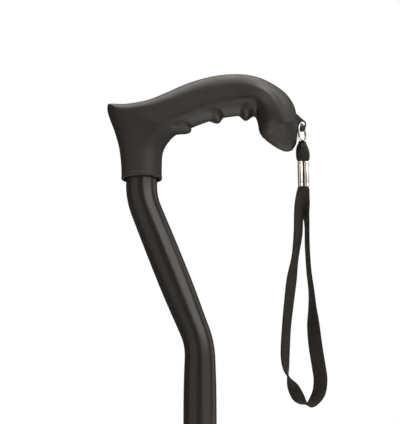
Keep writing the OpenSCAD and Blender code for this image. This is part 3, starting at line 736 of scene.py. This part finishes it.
def grip_rings():
    """Rings of points over the grip, in millimetres in the grip's frame."""
    cuts = smooth_rows(GRIP_CUTS, GRIP_CUT_STEPS)
    below_rim = (0, -30)
    outline = np.vstack([[cuts[0, 0:2] + below_rim], cuts[:, 0:2], [GRIP_END], cuts[::-1, 2:4],
                         [cuts[0, 2:4] + below_rim]])
    turn = TAU * np.arange(GRIP_AROUND) / GRIP_AROUND
    u = (1 - np.cos(turn)) / 2
    middle = GRIP_AROUND // 2
    rings = []
    for cut in cuts:
        outer, inner = cut[0:2], cut[2:4]
        across = np.linalg.norm(inner - outer)
        inward = (inner - outer) / across
        spots = outer + (inner - outer) * u[:, None]
        near_inner = smooth_step(u, 0.3, 0.7)
        reach = cut[5] + (cut[7] - cut[5]) * near_inner
        power = cut[6] + (cut[8] - cut[6]) * near_inner
        t = np.clip(distance_to_line(spots, outline) / reach, 0, 1)
        y = np.sign(np.sin(turn)) * cut[4] * (1 - (1 - t) ** power) ** (1 / power)
        loop = np.column_stack([u * across, y])
        ahead = np.roll(loop, -1, axis=0) - np.roll(loop, 1, axis=0)
        out = np.column_stack([-ahead[:, 1], ahead[:, 0]]) / np.linalg.norm(ahead, axis=1)[:, None]
        steps = np.linalg.norm(np.roll(loop, -1, axis=0) - loop, axis=1)
        arc = np.array([steps[min(j, middle):max(j, middle)].sum() for j in range(GRIP_AROUND)])
        lift = knob_lift(cut[2], arc) + stroke_lift(spots) * np.abs(out[:, 1])
        spots = spots + inward * (out[:, 0] * lift)[:, None]
        rings.append(np.column_stack([spots[:, 0], y + out[:, 1] * lift, spots[:, 1]]))
    return rings, cuts


def grip_point(p):
    return GRIP + Vector(p) * MM


def make_grip_body(rings):
    turn = TAU * np.arange(GRIP_AROUND) / GRIP_AROUND
    rings = [np.column_stack([-r * np.cos(turn), r * np.sin(turn), np.full_like(turn, z)])
             for r, z in rounded(RIM, 0.4)] + rings
    points = [p for ring in rings for p in ring] + [(GRIP_END[0], 0, GRIP_END[1])]
    faces = grid_faces(len(rings), GRIP_AROUND)
    faces.append(tuple(reversed(range(GRIP_AROUND))))
    tip = len(points) - 1
    last = tip - GRIP_AROUND
    faces += [(last + j, last + (j + 1) % GRIP_AROUND, tip) for j in range(GRIP_AROUND)]
    return new_object("grip_body", [grip_point(p) for p in points], faces, 75)


def make_parting_line(cuts):
    """The thin seam that the mould leaves along the grip's middle."""
    line = [grip_point((x, 0, z)) for x, z in list(cuts[2:, 0:2]) + [GRIP_END]]
    sides = 8
    verts = []
    for i, p in enumerate(line):
        ahead = heading(line, i).normalized()
        out = Vector((-ahead.z, 0, ahead.x))
        for j in range(sides):
            a = TAU * j / sides
            verts.append(p + (SEAM_R * math.cos(a) - SEAM_DEPTH) * out + Vector((0, SEAM_R * math.sin(a), 0)))
    return new_object("grip_seam", verts, grid_faces(len(line), sides) + end_faces(len(line), sides), 75)


# The strap's lug in the grip's frame, in millimetres: the hole's place from the ring's pivot and its radius,
# the rim's radius and how much longer it is below, the countersink's width and its edge's half thickness;
# the outline where it grows out of the nose, above and below; its half thickness outside, how much more it
# has in the nose, and from which X it grows; then its rounding, and how far from the hole the nose hides it.
LUG_HOLE_OFFSET = Vector((0.4, -0.4))
LUG_HOLE_R, LUG_RIM_R, LUG_DROP = 1.6, 2.5, 2.25
LUG_SINK, LUG_SINK_EDGE = 0.8, 0.25
LUG_ROOT_ABOVE = [Vector((101, 50)), Vector((104, 50.6)), Vector((108.2, 47.6))]
LUG_ROOT_BELOW = [Vector((104.6, 35)), Vector((101, 36))]
LUG_THIN, LUG_GROWTH, LUG_GROWS_FROM = 1.5, 3.2, 107.6
LUG_EDGE, LUG_ROUNDING = 0.8, 0.38
LUG_NOSE_REACH = 6
LUG_AROUND, LUG_STEPS = 72, 16


def outline_reach(centre, way, outline):
    """How far an outline is from a centre in one direction."""
    reach = 0
    for p, q in zip(outline, outline[1:] + outline[:1]):
        side, to_p = q - p, p - centre
        cross = way.x * side.y - way.y * side.x
        if abs(cross) < 1e-9:
            continue
        t = (to_p.x * side.y - to_p.y * side.x) / cross
        s = (to_p.x * way.y - to_p.y * way.x) / cross
        if -1e-6 <= s <= 1 + 1e-6:
            reach = max(reach, t)
    return reach


def lug_half_thickness(spot, from_hole, from_rim):
    """Half the lug's thickness: more towards the nose, rounded at the rim and sunk round the hole."""
    full = LUG_THIN + LUG_GROWTH * float(smooth_step(LUG_GROWS_FROM - spot.x, -1.5, 5))
    edge = min(from_rim, LUG_EDGE) / LUG_EDGE
    thick = full * (1 - LUG_ROUNDING * (1 - edge) ** 2)
    if from_hole < LUG_SINK:
        thick = LUG_SINK_EDGE + (thick - LUG_SINK_EDGE) * math.sin(math.pi / 2 * from_hole / LUG_SINK)
    return thick


def make_lug():
    """The strap's lug: a fin on the nose with a rounded rim and a countersunk hole, thicker in the nose."""
    centre = ((LUG_HOLE - GRIP) / MM).xz + LUG_HOLE_OFFSET
    rim = []
    for degrees in range(60, -81, -10):
        a = math.radians(degrees)
        rim.append(centre + LUG_RIM_R * Vector((math.cos(a), math.sin(a) * (1 if a > 0 else LUG_DROP))))
    outline = LUG_ROOT_ABOVE + rim + LUG_ROOT_BELOW
    ways = [Vector((math.cos(a), math.sin(a))) for a in (TAU * k / LUG_AROUND for k in range(LUG_AROUND))]
    reaches = [outline_reach(centre, way, outline) for way in ways]
    verts = []
    for side in (1, -1):
        for k in range(LUG_STEPS + 1):
            share = k / LUG_STEPS if side == 1 else 1 - k / LUG_STEPS
            for way, reach in zip(ways, reaches):
                from_hole = (reach - LUG_HOLE_R) * share
                spot = centre + way * (LUG_HOLE_R + from_hole)
                from_rim = reach - LUG_HOLE_R - from_hole if reach < LUG_NOSE_REACH else LUG_EDGE
                thick = lug_half_thickness(spot, from_hole, from_rim)
                verts.append(grip_point((spot.x, side * thick, spot.y)))
    return new_object("grip_lug", verts, grid_faces(2 * (LUG_STEPS + 1), LUG_AROUND, wrap_rows=True), 60)


def make_grip():
    rings, cuts = grip_rings()
    grip = join("soft_grip", [make_grip_body(rings), make_parting_line(cuts), make_lug()])
    return finish_piece(grip, "upper_shaft", SOFT_TOUCH, "handle_grip")


make_grip()

# ---- Tubes ----

BEND_ANGLE = math.radians(22.0012)  # as in part.scad: it brings the shaft under the frame's origin
BEND_RADIUS = 50 * MM
STEM_LENGTH = 47.6 * MM
UPPER_WALL = 1.2 * MM
BEND_PINCHES = (0.1, 0.035)  # how much narrower the lower and the upper bend are
BEND_PINCH_REACH = 24 * MM
BUTTON_Z = (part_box("snap_button")[0].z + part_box("snap_button")[1].z) / 2
BUTTON_HOLE_R = 3.4 * MM
HOLE_PITCH = 25.4 * MM
STEPS_EACH_WAY = 3


def bend_points(centre, radius, start, end, steps=22):
    """Points round a bend in the XZ plane."""
    return [centre + radius * Vector((math.cos(a), 0, math.sin(a)))
            for a in (start + (end - start) * k / steps for k in range(1, steps))]


def upper_path():
    """The upper tube's centreline from its lower end up."""
    slant = (-STEM_X - 2 * BEND_RADIUS * (1 - math.cos(BEND_ANGLE))) / math.sin(BEND_ANGLE)
    up = Vector((-math.sin(BEND_ANGLE), 0, math.cos(BEND_ANGLE)))
    stem_top = Vector((STEM_X, SHAFT_Y, TUBE_HIGH.z))
    stem_foot = stem_top - Vector((0, 0, STEM_LENGTH))
    upper_centre = stem_foot + Vector((BEND_RADIUS, 0, 0))
    slant_top = upper_centre + BEND_RADIUS * Vector((-math.cos(BEND_ANGLE), 0, -math.sin(BEND_ANGLE)))
    slant_foot = slant_top - slant * up
    shaft_top = Vector((0, SHAFT_Y, slant_foot.z - BEND_RADIUS * math.sin(BEND_ANGLE)))
    lower_centre = shaft_top - Vector((BEND_RADIUS, 0, 0))
    path = [Vector((0, SHAFT_Y, UPPER_END_Z)).lerp(shaft_top, k / 60) for k in range(61)]
    path += bend_points(lower_centre, BEND_RADIUS, 0, BEND_ANGLE)
    path += [slant_foot.lerp(slant_top, k / 12) for k in range(13)]
    path += bend_points(upper_centre, BEND_RADIUS, math.pi + BEND_ANGLE, math.pi)
    path += [stem_foot.lerp(stem_top, k / 6) for k in range(7)]
    return path


def hollow_profile(path, radius, wall, soften=0.25 * MM):
    """Places and radii of a tube's skin: up its outside and down its bore, with softened rims."""
    places = distances(path)
    long = places[-1]
    inner = radius - wall
    outside = [(0, radius - soften), (soften * 0.3, radius - soften * 0.3), (soften, radius)]
    outside += [(p, radius) for p in places[1:-1] if soften * 2 < p < long - soften * 2]
    outside += [(long - soften, radius), (long, radius - soften)]
    bore = [(long, inner)] + [(p, inner) for p in reversed(places[1:-1])]
    bore += [(soften * 0.4, inner), (0, inner + soften * 0.4)]
    return outside + bore


def drill(obj, spots, radius, reach, direction=(0, 1, 0)):
    """Cuts round holes along a direction, centred on spots."""
    turn = Vector(direction).to_track_quat("Z", "Y").to_matrix().to_4x4()
    profile = [(0, -reach), (radius, -reach), (radius, reach), (0, reach)]
    drills = [lathe("drill", profile, 40, Matrix.Translation(spot) @ turn) for spot in spots]
    cut_away(obj, join("drills", drills))


def cut_away(obj, tool, operation="DIFFERENCE"):
    """Cuts a tool out of a piece, or adds it, and removes the tool."""
    modifier = obj.modifiers.new("cut", "BOOLEAN")
    modifier.object = tool
    modifier.operation = operation
    modifier.solver = "EXACT"
    apply_modifiers(obj)
    bpy.data.objects.remove(tool)
    clean(obj)


def apply_modifiers(obj):
    bpy.ops.object.select_all(action="DESELECT")
    obj.select_set(True)
    bpy.context.view_layer.objects.active = obj
    for modifier in list(obj.modifiers):
        bpy.ops.object.modifier_apply(modifier=modifier.name)


def make_upper_tube():
    path = upper_path()
    bends = [p for p in path if MM < abs(p.x) < abs(STEM_X) - MM]
    low_bend = bends[len(bends) // 6]
    high_bend = bends[-len(bends) // 6]

    def pinch_at(p):
        """Bending draws the tube in a little, more at the lower bend."""
        return sum(pinch * math.exp(-((p - bend).length / BEND_PINCH_REACH) ** 2)
                   for bend, pinch in zip((low_bend, high_bend), BEND_PINCHES))

    tube = pipe("upper_tube_skin", path, hollow_profile(path, UPPER_R, UPPER_WALL), 96, pinch_at)
    holes = [Vector((0, SHAFT_Y, BUTTON_Z + k * HOLE_PITCH))
             for k in range(-STEPS_EACH_WAY, STEPS_EACH_WAY + 1)]
    drill(tube, holes, BUTTON_HOLE_R, 2 * UPPER_R)
    return finish_piece(tube, "upper_shaft", SHAFT_COAT, "upper_tube")


make_upper_tube()

# ---- Locking collar, collet and snap button ----

# In millimetres, with heights from the upper tube's lower end.
COLLAR_RIBS = 28
COLLAR_R, COLLAR_FOOT, COLLAR_TOP = 17, -22, 15
GROOVE_R = 1.2
GROOVE_CENTRE_R = 17.5
GROOVE_FOOT, GROOVE_TOP = -14, 10
SLIT_WIDTH = 1.6


def in_mm(profile):
    return [(r * MM, z * MM) for r, z in profile]


def upright(x, y, z, turn=0.0):
    """A frame that stands at a place, turned about Z."""
    return Matrix.Translation((x, y, z)) @ Matrix.Rotation(turn, 4, "Z")


def block(name, low, high, at=Matrix.Identity(4)):
    """A plain block, only ever used to cut with."""
    corners = [(x * MM, y * MM, z * MM) for x in (low[0], high[0]) for y in (low[1], high[1])
               for z in (low[2], high[2])]
    faces = [(0, 1, 3, 2), (4, 6, 7, 5), (0, 4, 5, 1), (2, 3, 7, 6), (0, 2, 6, 4), (1, 5, 7, 3)]
    return new_object(name, [at @ Vector(c) for c in corners], faces)


def bar(name, radius, low, high, sides, at):
    """A plain round or many-sided bar, mostly to cut with."""
    return lathe(name, in_mm([(0, low), (radius, low), (radius, high), (0, high)]), sides, at)


AT_SHAFT = upright(0, SHAFT_Y, 0)
AT_TUBE_END = upright(0, SHAFT_Y, UPPER_END_Z)


def collar_groove(r, z, angle):
    """The collar's skin with its finger grooves, which have round ends."""
    if r < (COLLAR_R - 0.5) * MM:
        return r
    pitch = TAU / COLLAR_RIBS
    off = ((angle / pitch + 0.5) % 1 - 0.5) * pitch * r / MM
    past = max(GROOVE_FOOT - z / MM, z / MM - GROOVE_TOP, 0)
    reach = math.sqrt(max(GROOVE_R ** 2 - off ** 2 - past ** 2, 0))
    return min(r, (GROOVE_CENTRE_R - reach) * MM)


def make_lock_collar():
    """A ring nut: ribbed outside, with a lip below that runs on the lower tube."""
    bore, lip = 13.75, LOWER_R / MM + 0.8
    ribbed = [(COLLAR_R, z) for z in np.arange(-16.2, 13, 0.6)]
    below = [(lip, COLLAR_FOOT), (14.6, COLLAR_FOOT, 0.8), (16.5, -20, 1.2), (COLLAR_R, -17, 2), ribbed[0]]
    above = [ribbed[-1], (COLLAR_R, 14.2, 0.6), (16.1, COLLAR_TOP, 0.6), (bore + 0.5, COLLAR_TOP, 0.2),
             (bore, 14.5, 0.2), (bore, -18.8, 0.1), (lip, -18.8)]
    skin = rounded(below, 0.5) + ribbed[1:] + rounded(above, 0.4)[1:]
    collar = lathe("ring_nut", in_mm(skin), COLLAR_RIBS * 16, AT_TUBE_END, closed=True,
                   radius_at=collar_groove, sharp_angle=48)
    return finish_piece(collar, "collar", COLLAR_PLASTIC, "lock_collar")


def make_lock_collet():
    """End fitting on the upper tube: a plain flange over the collar and four slit fingers inside it."""
    bore = LOWER_R / MM + 0.35
    seat = UPPER_R / MM + 0.02
    groove = UPPER_R / MM + 0.5
    corners = [(bore, 0), (bore, -6), (groove, -6), (groove, -12), (bore, -12), (bore, -18), (11.6, -18, 0.4),
               (12.8, -13, 1), (13.4, -12, 1), (13.4, 17, 0.6), (15.3, 17.6, 0.4), (16, 18.6, 0.6),
               (16, 20.2, 0.2), (15.6, 20.6, 0.2), (15.6, 21, 0.2), (16, 21.4, 0.2), (16, 23, 0.6),
               (15, 24, 0.7), (seat + 0.5, 24, 0.2), (seat, 23.5, 0.2), (seat, 0)]
    collet = lathe("collet", in_mm(rounded(corners, 0.15, closed=True)), 128, AT_TUBE_END, closed=True)
    for turn in (45, 135):
        cut_away(collet, block("slit", (-20, -SLIT_WIDTH / 2, -19), (20, SLIT_WIDTH / 2, -3),
                               upright(0, SHAFT_Y, UPPER_END_Z, math.radians(turn))))
    return finish_piece(collet, "upper_shaft", COLLET_PLASTIC, "lock_collet")


def towards_user(z):
    """A frame on the shaft's axis at a height, whose Z points to -Y."""
    return Matrix.Translation((0, SHAFT_Y, z)) @ Matrix.Rotation(math.radians(90), 4, "X")


def make_snap_button():
    """The push button: a domed stud on a thin foot that sits on the spring."""
    low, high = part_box("snap_button")
    tip = (SHAFT_Y - low.y) / MM
    back = (SHAFT_Y - high.y) / MM
    stud_r, foot_r = 3.1, 3.9
    corners = [(0, back), (foot_r, back, 0.2), (foot_r, back + 0.6, 0.15), (stud_r, back + 0.6, 0.1),
               (stud_r, tip - 0.9, 1.4), (stud_r - 1.3, tip, 1.6), (0, tip)]
    button = lathe("button_stud", in_mm(rounded(corners, 0.2, 7)), 64, towards_user(BUTTON_Z))
    return finish_piece(button, "button", BUTTON_STEEL, "snap_button")


make_lock_collar()
make_lock_collet()
make_snap_button()

# ---- Base ----

# In millimetres, with heights from the floor.
HUB_FOOT, HUB_TOP = (corner.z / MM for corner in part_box("base_hub"))
LEG_HEIGHT = 86
BOSS_R = 11
BOSS_REACH = 40
LEG_START = 17.5
LEG_R = 8
LEG_WALL = 1.5
LEG_BEND_R = 42
LEG_DROP = math.radians(81.9205)  # as in part.scad
LEG_SPLAY = math.radians(90) - LEG_DROP
TIP_SEAT = 7.5
TIP_R = 16.5
WASHER_THICK = 1.5
PIN_R = 1.5
PIN_REACH = BOSS_REACH - 8
BOLT_Z = 114
FLAT_Y = 13.6
HEAD_Y = FLAT_Y + 1.22
AT_BOLT = towards_user(BOLT_Z * MM)

FEET = {m["name"].replace("foot_", ""): Vector(m["pos_m"]) for m in frame["record"]["mounts"]}


def leg_frame(foot):
    """A frame on the shaft's axis at the floor, whose X points to a foot."""
    return upright(0, SHAFT_Y, 0, math.atan2(foot.y - SHAFT_Y, foot.x))


def foot_reach(foot):
    return math.hypot(foot.x, foot.y - SHAFT_Y) / MM


def sideways_rod(at):
    """A frame at a place in a leg's frame, whose Z points along the leg's X."""
    return Matrix.Translation(at) @ Matrix.Rotation(math.radians(90), 4, "Y")


def make_hub():
    """A cast hub: one skin over barrel and bosses, with fillets where they meet, then its machined bores."""
    barrel = rounded([(0, HUB_FOOT), (12, HUB_FOOT, 2), (16, HUB_FOOT + 3.5, 3), (16, 95, 3), (13.8, 102, 3),
                      (13.8, HUB_TOP - 5.5, 1), (15.2, HUB_TOP - 4, 1), (15.2, HUB_TOP - 1, 0.8),
                      (14.2, HUB_TOP, 0.8), (0, HUB_TOP)], 1)
    boss = rounded([(0, 0), (BOSS_R - 0.4, 0), (BOSS_R - 0.4, 31, 1), (BOSS_R, 32.5, 1),
                    (BOSS_R, BOSS_REACH - 1, 0.8), (BOSS_R - 1, BOSS_REACH, 0.6), (0, BOSS_REACH)], 0.5)
    bore = [(0, 64), (9.58, 64), (9.58, 126.8), (10.4, 127.6), (10.4, 140), (0, 140)]
    leg_bore = [(0, LEG_START), (LEG_R + 0.05, LEG_START), (LEG_R + 0.05, BOSS_REACH - 0.8),
                (LEG_R + 0.8, BOSS_REACH), (LEG_R + 0.8, 60), (0, 60)]
    spot_face = [(0, FLAT_Y), (6.9, FLAT_Y), (7.3, FLAT_Y + 0.4), (7.3, 30), (0, 30)]
    legs = [leg_frame(foot) for foot in FEET.values()]
    rods = [leg @ sideways_rod((0, 0, LEG_HEIGHT * MM)) for leg in legs]
    hub = join("base_casting", [lathe("barrel", in_mm(barrel), 96, AT_SHAFT)]
               + [lathe("boss", in_mm(boss), 64, rod) for rod in rods])
    skin = hub.modifiers.new("skin", "REMESH")
    skin.mode = "VOXEL"
    skin.voxel_size = 0.7 * MM
    smooth = hub.modifiers.new("smooth", "SMOOTH")
    smooth.factor = 0.5
    smooth.iterations = 6
    apply_modifiers(hub)
    cut_away(hub, lathe("bore", in_mm(bore), 96, AT_SHAFT))
    cut_away(hub, join("leg_bores", [lathe("leg_bore", in_mm(leg_bore), 64, rod) for rod in rods]))
    cut_away(hub, join("pin_bores", [bar("pin_bore", PIN_R + 0.05, 60, 110, 24,
                                         leg @ Matrix.Translation((PIN_REACH * MM, 0, 0))) for leg in legs]))
    cut_away(hub, bar("bolt_bore", 3.2, -30, 30, 32, AT_BOLT))
    for turn in (math.pi, 0):
        cut_away(hub, lathe("spot_face", in_mm(spot_face), 64, AT_BOLT @ Matrix.Rotation(turn, 4, "X")))
    return finish_piece(hub, "base", HUB_COAT, "base_hub")


def leg_path(reach):
    """A leg's centreline in its own frame: out of the hub, round its bend and down into its tip."""
    foot_rise = LEG_HEIGHT - LEG_BEND_R * (1 - math.cos(LEG_DROP))
    level = reach - foot_rise * math.tan(LEG_SPLAY) - LEG_BEND_R * math.sin(LEG_DROP) - LEG_START
    lower = foot_rise / math.sin(LEG_DROP) - TIP_SEAT
    bend = Vector((LEG_START + level, 0, LEG_HEIGHT - LEG_BEND_R))
    path = [Vector((LEG_START + level * k / 4, 0, LEG_HEIGHT)) for k in range(5)]
    path += bend_points(bend, LEG_BEND_R, math.radians(90), math.radians(90) - LEG_DROP, 28)
    knee = bend + LEG_BEND_R * Vector((math.sin(LEG_DROP), 0, math.cos(LEG_DROP)))
    down = Vector((math.cos(LEG_DROP), 0, -math.sin(LEG_DROP)))
    path += [knee + down * lower * k / 6 for k in range(7)]
    return path


def make_leg(name, foot):
    at = leg_frame(foot)
    path = [at @ (p * MM) for p in leg_path(foot_reach(foot))]
    leg = pipe("leg_tube_" + name, path, hollow_profile(path, LEG_R * MM, LEG_WALL * MM))
    pin = at @ (Vector((PIN_REACH, 0, LEG_HEIGHT)) * MM)
    drill(leg, [pin], (PIN_R + 0.02) * MM, 12 * MM, (0, 0, 1))
    return finish_piece(leg, "base", LEG_COAT, "leg_" + name)


def make_tip(name, foot):
    """A rubber tip that leans with its leg: a broad grooved sole, a ribbed neck and a beaded mouth."""
    neck = TIP_R - 4.6
    corners = [(0, -5), (TIP_R, -5), (TIP_R, 3.6, 0.8), (TIP_R - 0.8, 6.8, 1.5), (TIP_R - 3.4, 10, 2),
               (neck + 0.2, 14, 2)]
    for z in (17, 20.4, 23.8, 27.2):
        corners += [(neck, z, 0.2), (neck - 0.35, z + 0.5, 0.3), (neck - 0.35, z + 1.1, 0.3),
                    (neck, z + 1.6, 0.2)]
    corners += [(TIP_R - 5, 33, 0.6), (TIP_R - 4.3, 34, 0.6), (TIP_R - 4.3, 37, 0.7), (TIP_R - 5.1, 38, 0.6),
                (9, 38, 0.3), (8.4, 37.2), (0, 37.2)]
    stand = leg_frame(foot) @ Matrix.Translation((foot_reach(foot) * MM, 0, 0))
    lean = stand @ Matrix.Rotation(-LEG_SPLAY, 4, "Y")
    tip = lathe("ferrule_tip_" + name, in_mm(rounded(corners, 0.4)), 96, lean, sharp_angle=50)
    cut_away(tip, block("below", (-30, -30, -20), (30, 30, 0), stand))
    for r in (6, 10.5):
        groove = rounded([(r, -1), (r + 0.25, 1, 0.3), (r + 1.25, 1, 0.3), (r + 1.5, -1)], 0.2, 3)
        cut_away(tip, lathe("groove", in_mm(groove), 96, stand, closed=True))
    cut_away(tip, bar("socket", LEG_R + 0.02, TIP_SEAT - WASHER_THICK - 0.02, 50, 64, lean))
    return finish_piece(tip, "base", RUBBER, "tip_" + name)


def make_bolt():
    """A socket cap screw: turned head with a hexagon socket, and a threaded end."""
    end = -FLAT_Y - 8
    thread = [point for k in range(9) for point in ((3, end + 0.6 + k), (2.65, end + 1.1 + k))]
    corners = [(0, end), (2.5, end)] + thread + [
        (3, thread[-1][1] + 0.5), (3, HEAD_Y - 0.3, 0.2), (4.7, HEAD_Y, 0.1), (5, HEAD_Y + 0.3, 0.2),
        (5, HEAD_Y + 3.6, 0.5), (4.4, HEAD_Y + 4.2, 0.5), (0, HEAD_Y + 4.2)]
    bolt = lathe("socket_screw", in_mm(rounded(corners, 0.05, 3)), 64, AT_BOLT)
    cut_away(bolt, bar("hexagon", 2.3, FLAT_Y + 3, 30, 6, AT_BOLT))
    return finish_piece(bolt, "base", ZINC, "hub_bolt")


def make_nut():
    """A lock nut: chamfered hexagon with the crimped collar that holds its nylon ring."""
    away = Matrix.Translation((0, SHAFT_Y + HEAD_Y * MM, BOLT_Z * MM)) @ Matrix.Rotation(
        math.radians(-90), 4, "X")
    nut = bar("lock_nut", 5.7, 0, 4.6, 6, away)
    turned = rounded([(0, 0), (4.9, 0), (5.9, 0.7), (5.9, 3.8), (4.7, 4.4), (4.6, 5.5, 0.5), (4, 6, 0.4),
                      (0, 6)], 0.1)
    crimp = [(0, 3.9), (4.6, 3.9), (4.6, 5.4), (4.2, 6), (0, 6)]
    cut_away(nut, lathe("turned", in_mm(turned), 64, away), "INTERSECT")
    cut_away(nut, lathe("nut_collar", in_mm(crimp), 48, away), "UNION")
    cut_away(nut, bar("thread", 3.02, -1, 8, 48, away))
    return finish_piece(nut, "base", ZINC, "hub_nut")


make_hub()
make_bolt()
make_nut()
for name, foot in FEET.items():
    make_leg(name, foot)
    make_tip(name, foot)

# CAD nodes whose shape is right: they stay, with finished materials.
for name, material in {
    "handle_core": CORE_PLASTIC,
    "handle_pin": ZINC,
    "glide_ring": NYLON,
    "lower_tube": SHAFT_COAT,
    "tube_bushing": NYLON,
    "snap_spring": SPRING_STEEL,
    "hub_washers": ZINC,
    "leg_pins": ZINC,
    "tip_washers": ZINC,
}.items():
    for material_slot in frame["nodes"][name].material_slots:
        material_slot.material = material

# ---- Studio ----


def make_floor():
    """A pale floor, wide enough to have no edge in view, and hidden from reflections."""
    mesh = bpy.data.meshes.new("floor")
    work = bmesh.new()
    bmesh.ops.create_circle(work, cap_ends=True, radius=6, segments=96)
    work.to_mesh(mesh)
    work.free()
    floor = bpy.data.objects.new("floor", mesh)
    bpy.context.scene.collection.objects.link(floor)
    mesh.materials.append(floor_material())
    floor.visible_glossy = False


def make_key_light():
    """A soft panel above the camera's left shoulder."""
    data = bpy.data.lights.new("key", "AREA")
    data.shape = "RECTANGLE"
    data.size = data.size_y = 0.9
    data.energy = 2
    light = bpy.data.objects.new("key", data)
    light.location = (-0.5, -1.1, 1.9)
    aim = Vector((0, SHAFT_Y, 0.78))
    light.rotation_euler = (aim - light.location).to_track_quat("-Z", "Y").to_euler()
    bpy.context.scene.collection.objects.link(light)


# Soft panels round the cane: turn from the camera's side towards +X, from and to, height above the horizon,
# from and to, softness of the edges, all in degrees, and brightness.
PANELS = [
    (-80, -24, -15, 75, 6, 0.62),
    (14, 76, 14, 62, 8, 2.7),
    (16, 76, -20, 30, 8, 1.1),
    (84, 130, -20, 70, 8, 0.7),
    (-360, 360, -66, -42, 8, 2.4),
    (-360, 360, -110, -42, 8, 0.8),
    (-360, 360, 56, 100, 6, 4.2),
]
ROOM_LIGHT = 0.07
ROOM_TINT = (1.0, 0.93, 0.86)


def make_world():
    """White to the camera. To the cane, a dim room with soft panels."""
    world = bpy.data.worlds.new("studio")
    world.use_nodes = True
    nodes = Nodes(world.node_tree)
    way = nodes.add("SeparateXYZ", {"Vector": nodes.coordinates.outputs["Generated"]}).outputs
    turn = nodes.math("ARCTAN2", way[0], nodes.math("MULTIPLY", way[1], -1.0))
    height = nodes.math("ARCSINE", way[2])
    light = ROOM_LIGHT
    for turn_from, turn_to, low, high, softness, brightness in PANELS:
        blur = math.radians(softness)
        glow = brightness
        for value, edge in ((turn, turn_from), (height, low)):
            glow = nodes.math("MULTIPLY", nodes.soft_step(value, math.radians(edge), blur), glow)
        for value, edge in ((turn, turn_to), (height, high)):
            past = nodes.soft_step(value, math.radians(edge), blur)
            glow = nodes.math("MULTIPLY", nodes.math("SUBTRACT", 1.0, past), glow)
        light = nodes.math("ADD", glow, light)
    tinted = [nodes.math("MULTIPLY", light, warmth) for warmth in ROOM_TINT]
    room = nodes.add("CombineColor", dict(enumerate(tinted))).outputs[0]
    seen = nodes.add("LightPath").outputs["Is Camera Ray"]
    world.node_tree.links.new(nodes.mix(seen, room, (1, 1, 1)),
                              world.node_tree.nodes["Background"].inputs["Color"])
    bpy.context.scene.world = world
    bpy.context.scene.view_settings.view_transform = "Standard"


make_floor()
make_world()
make_key_light()
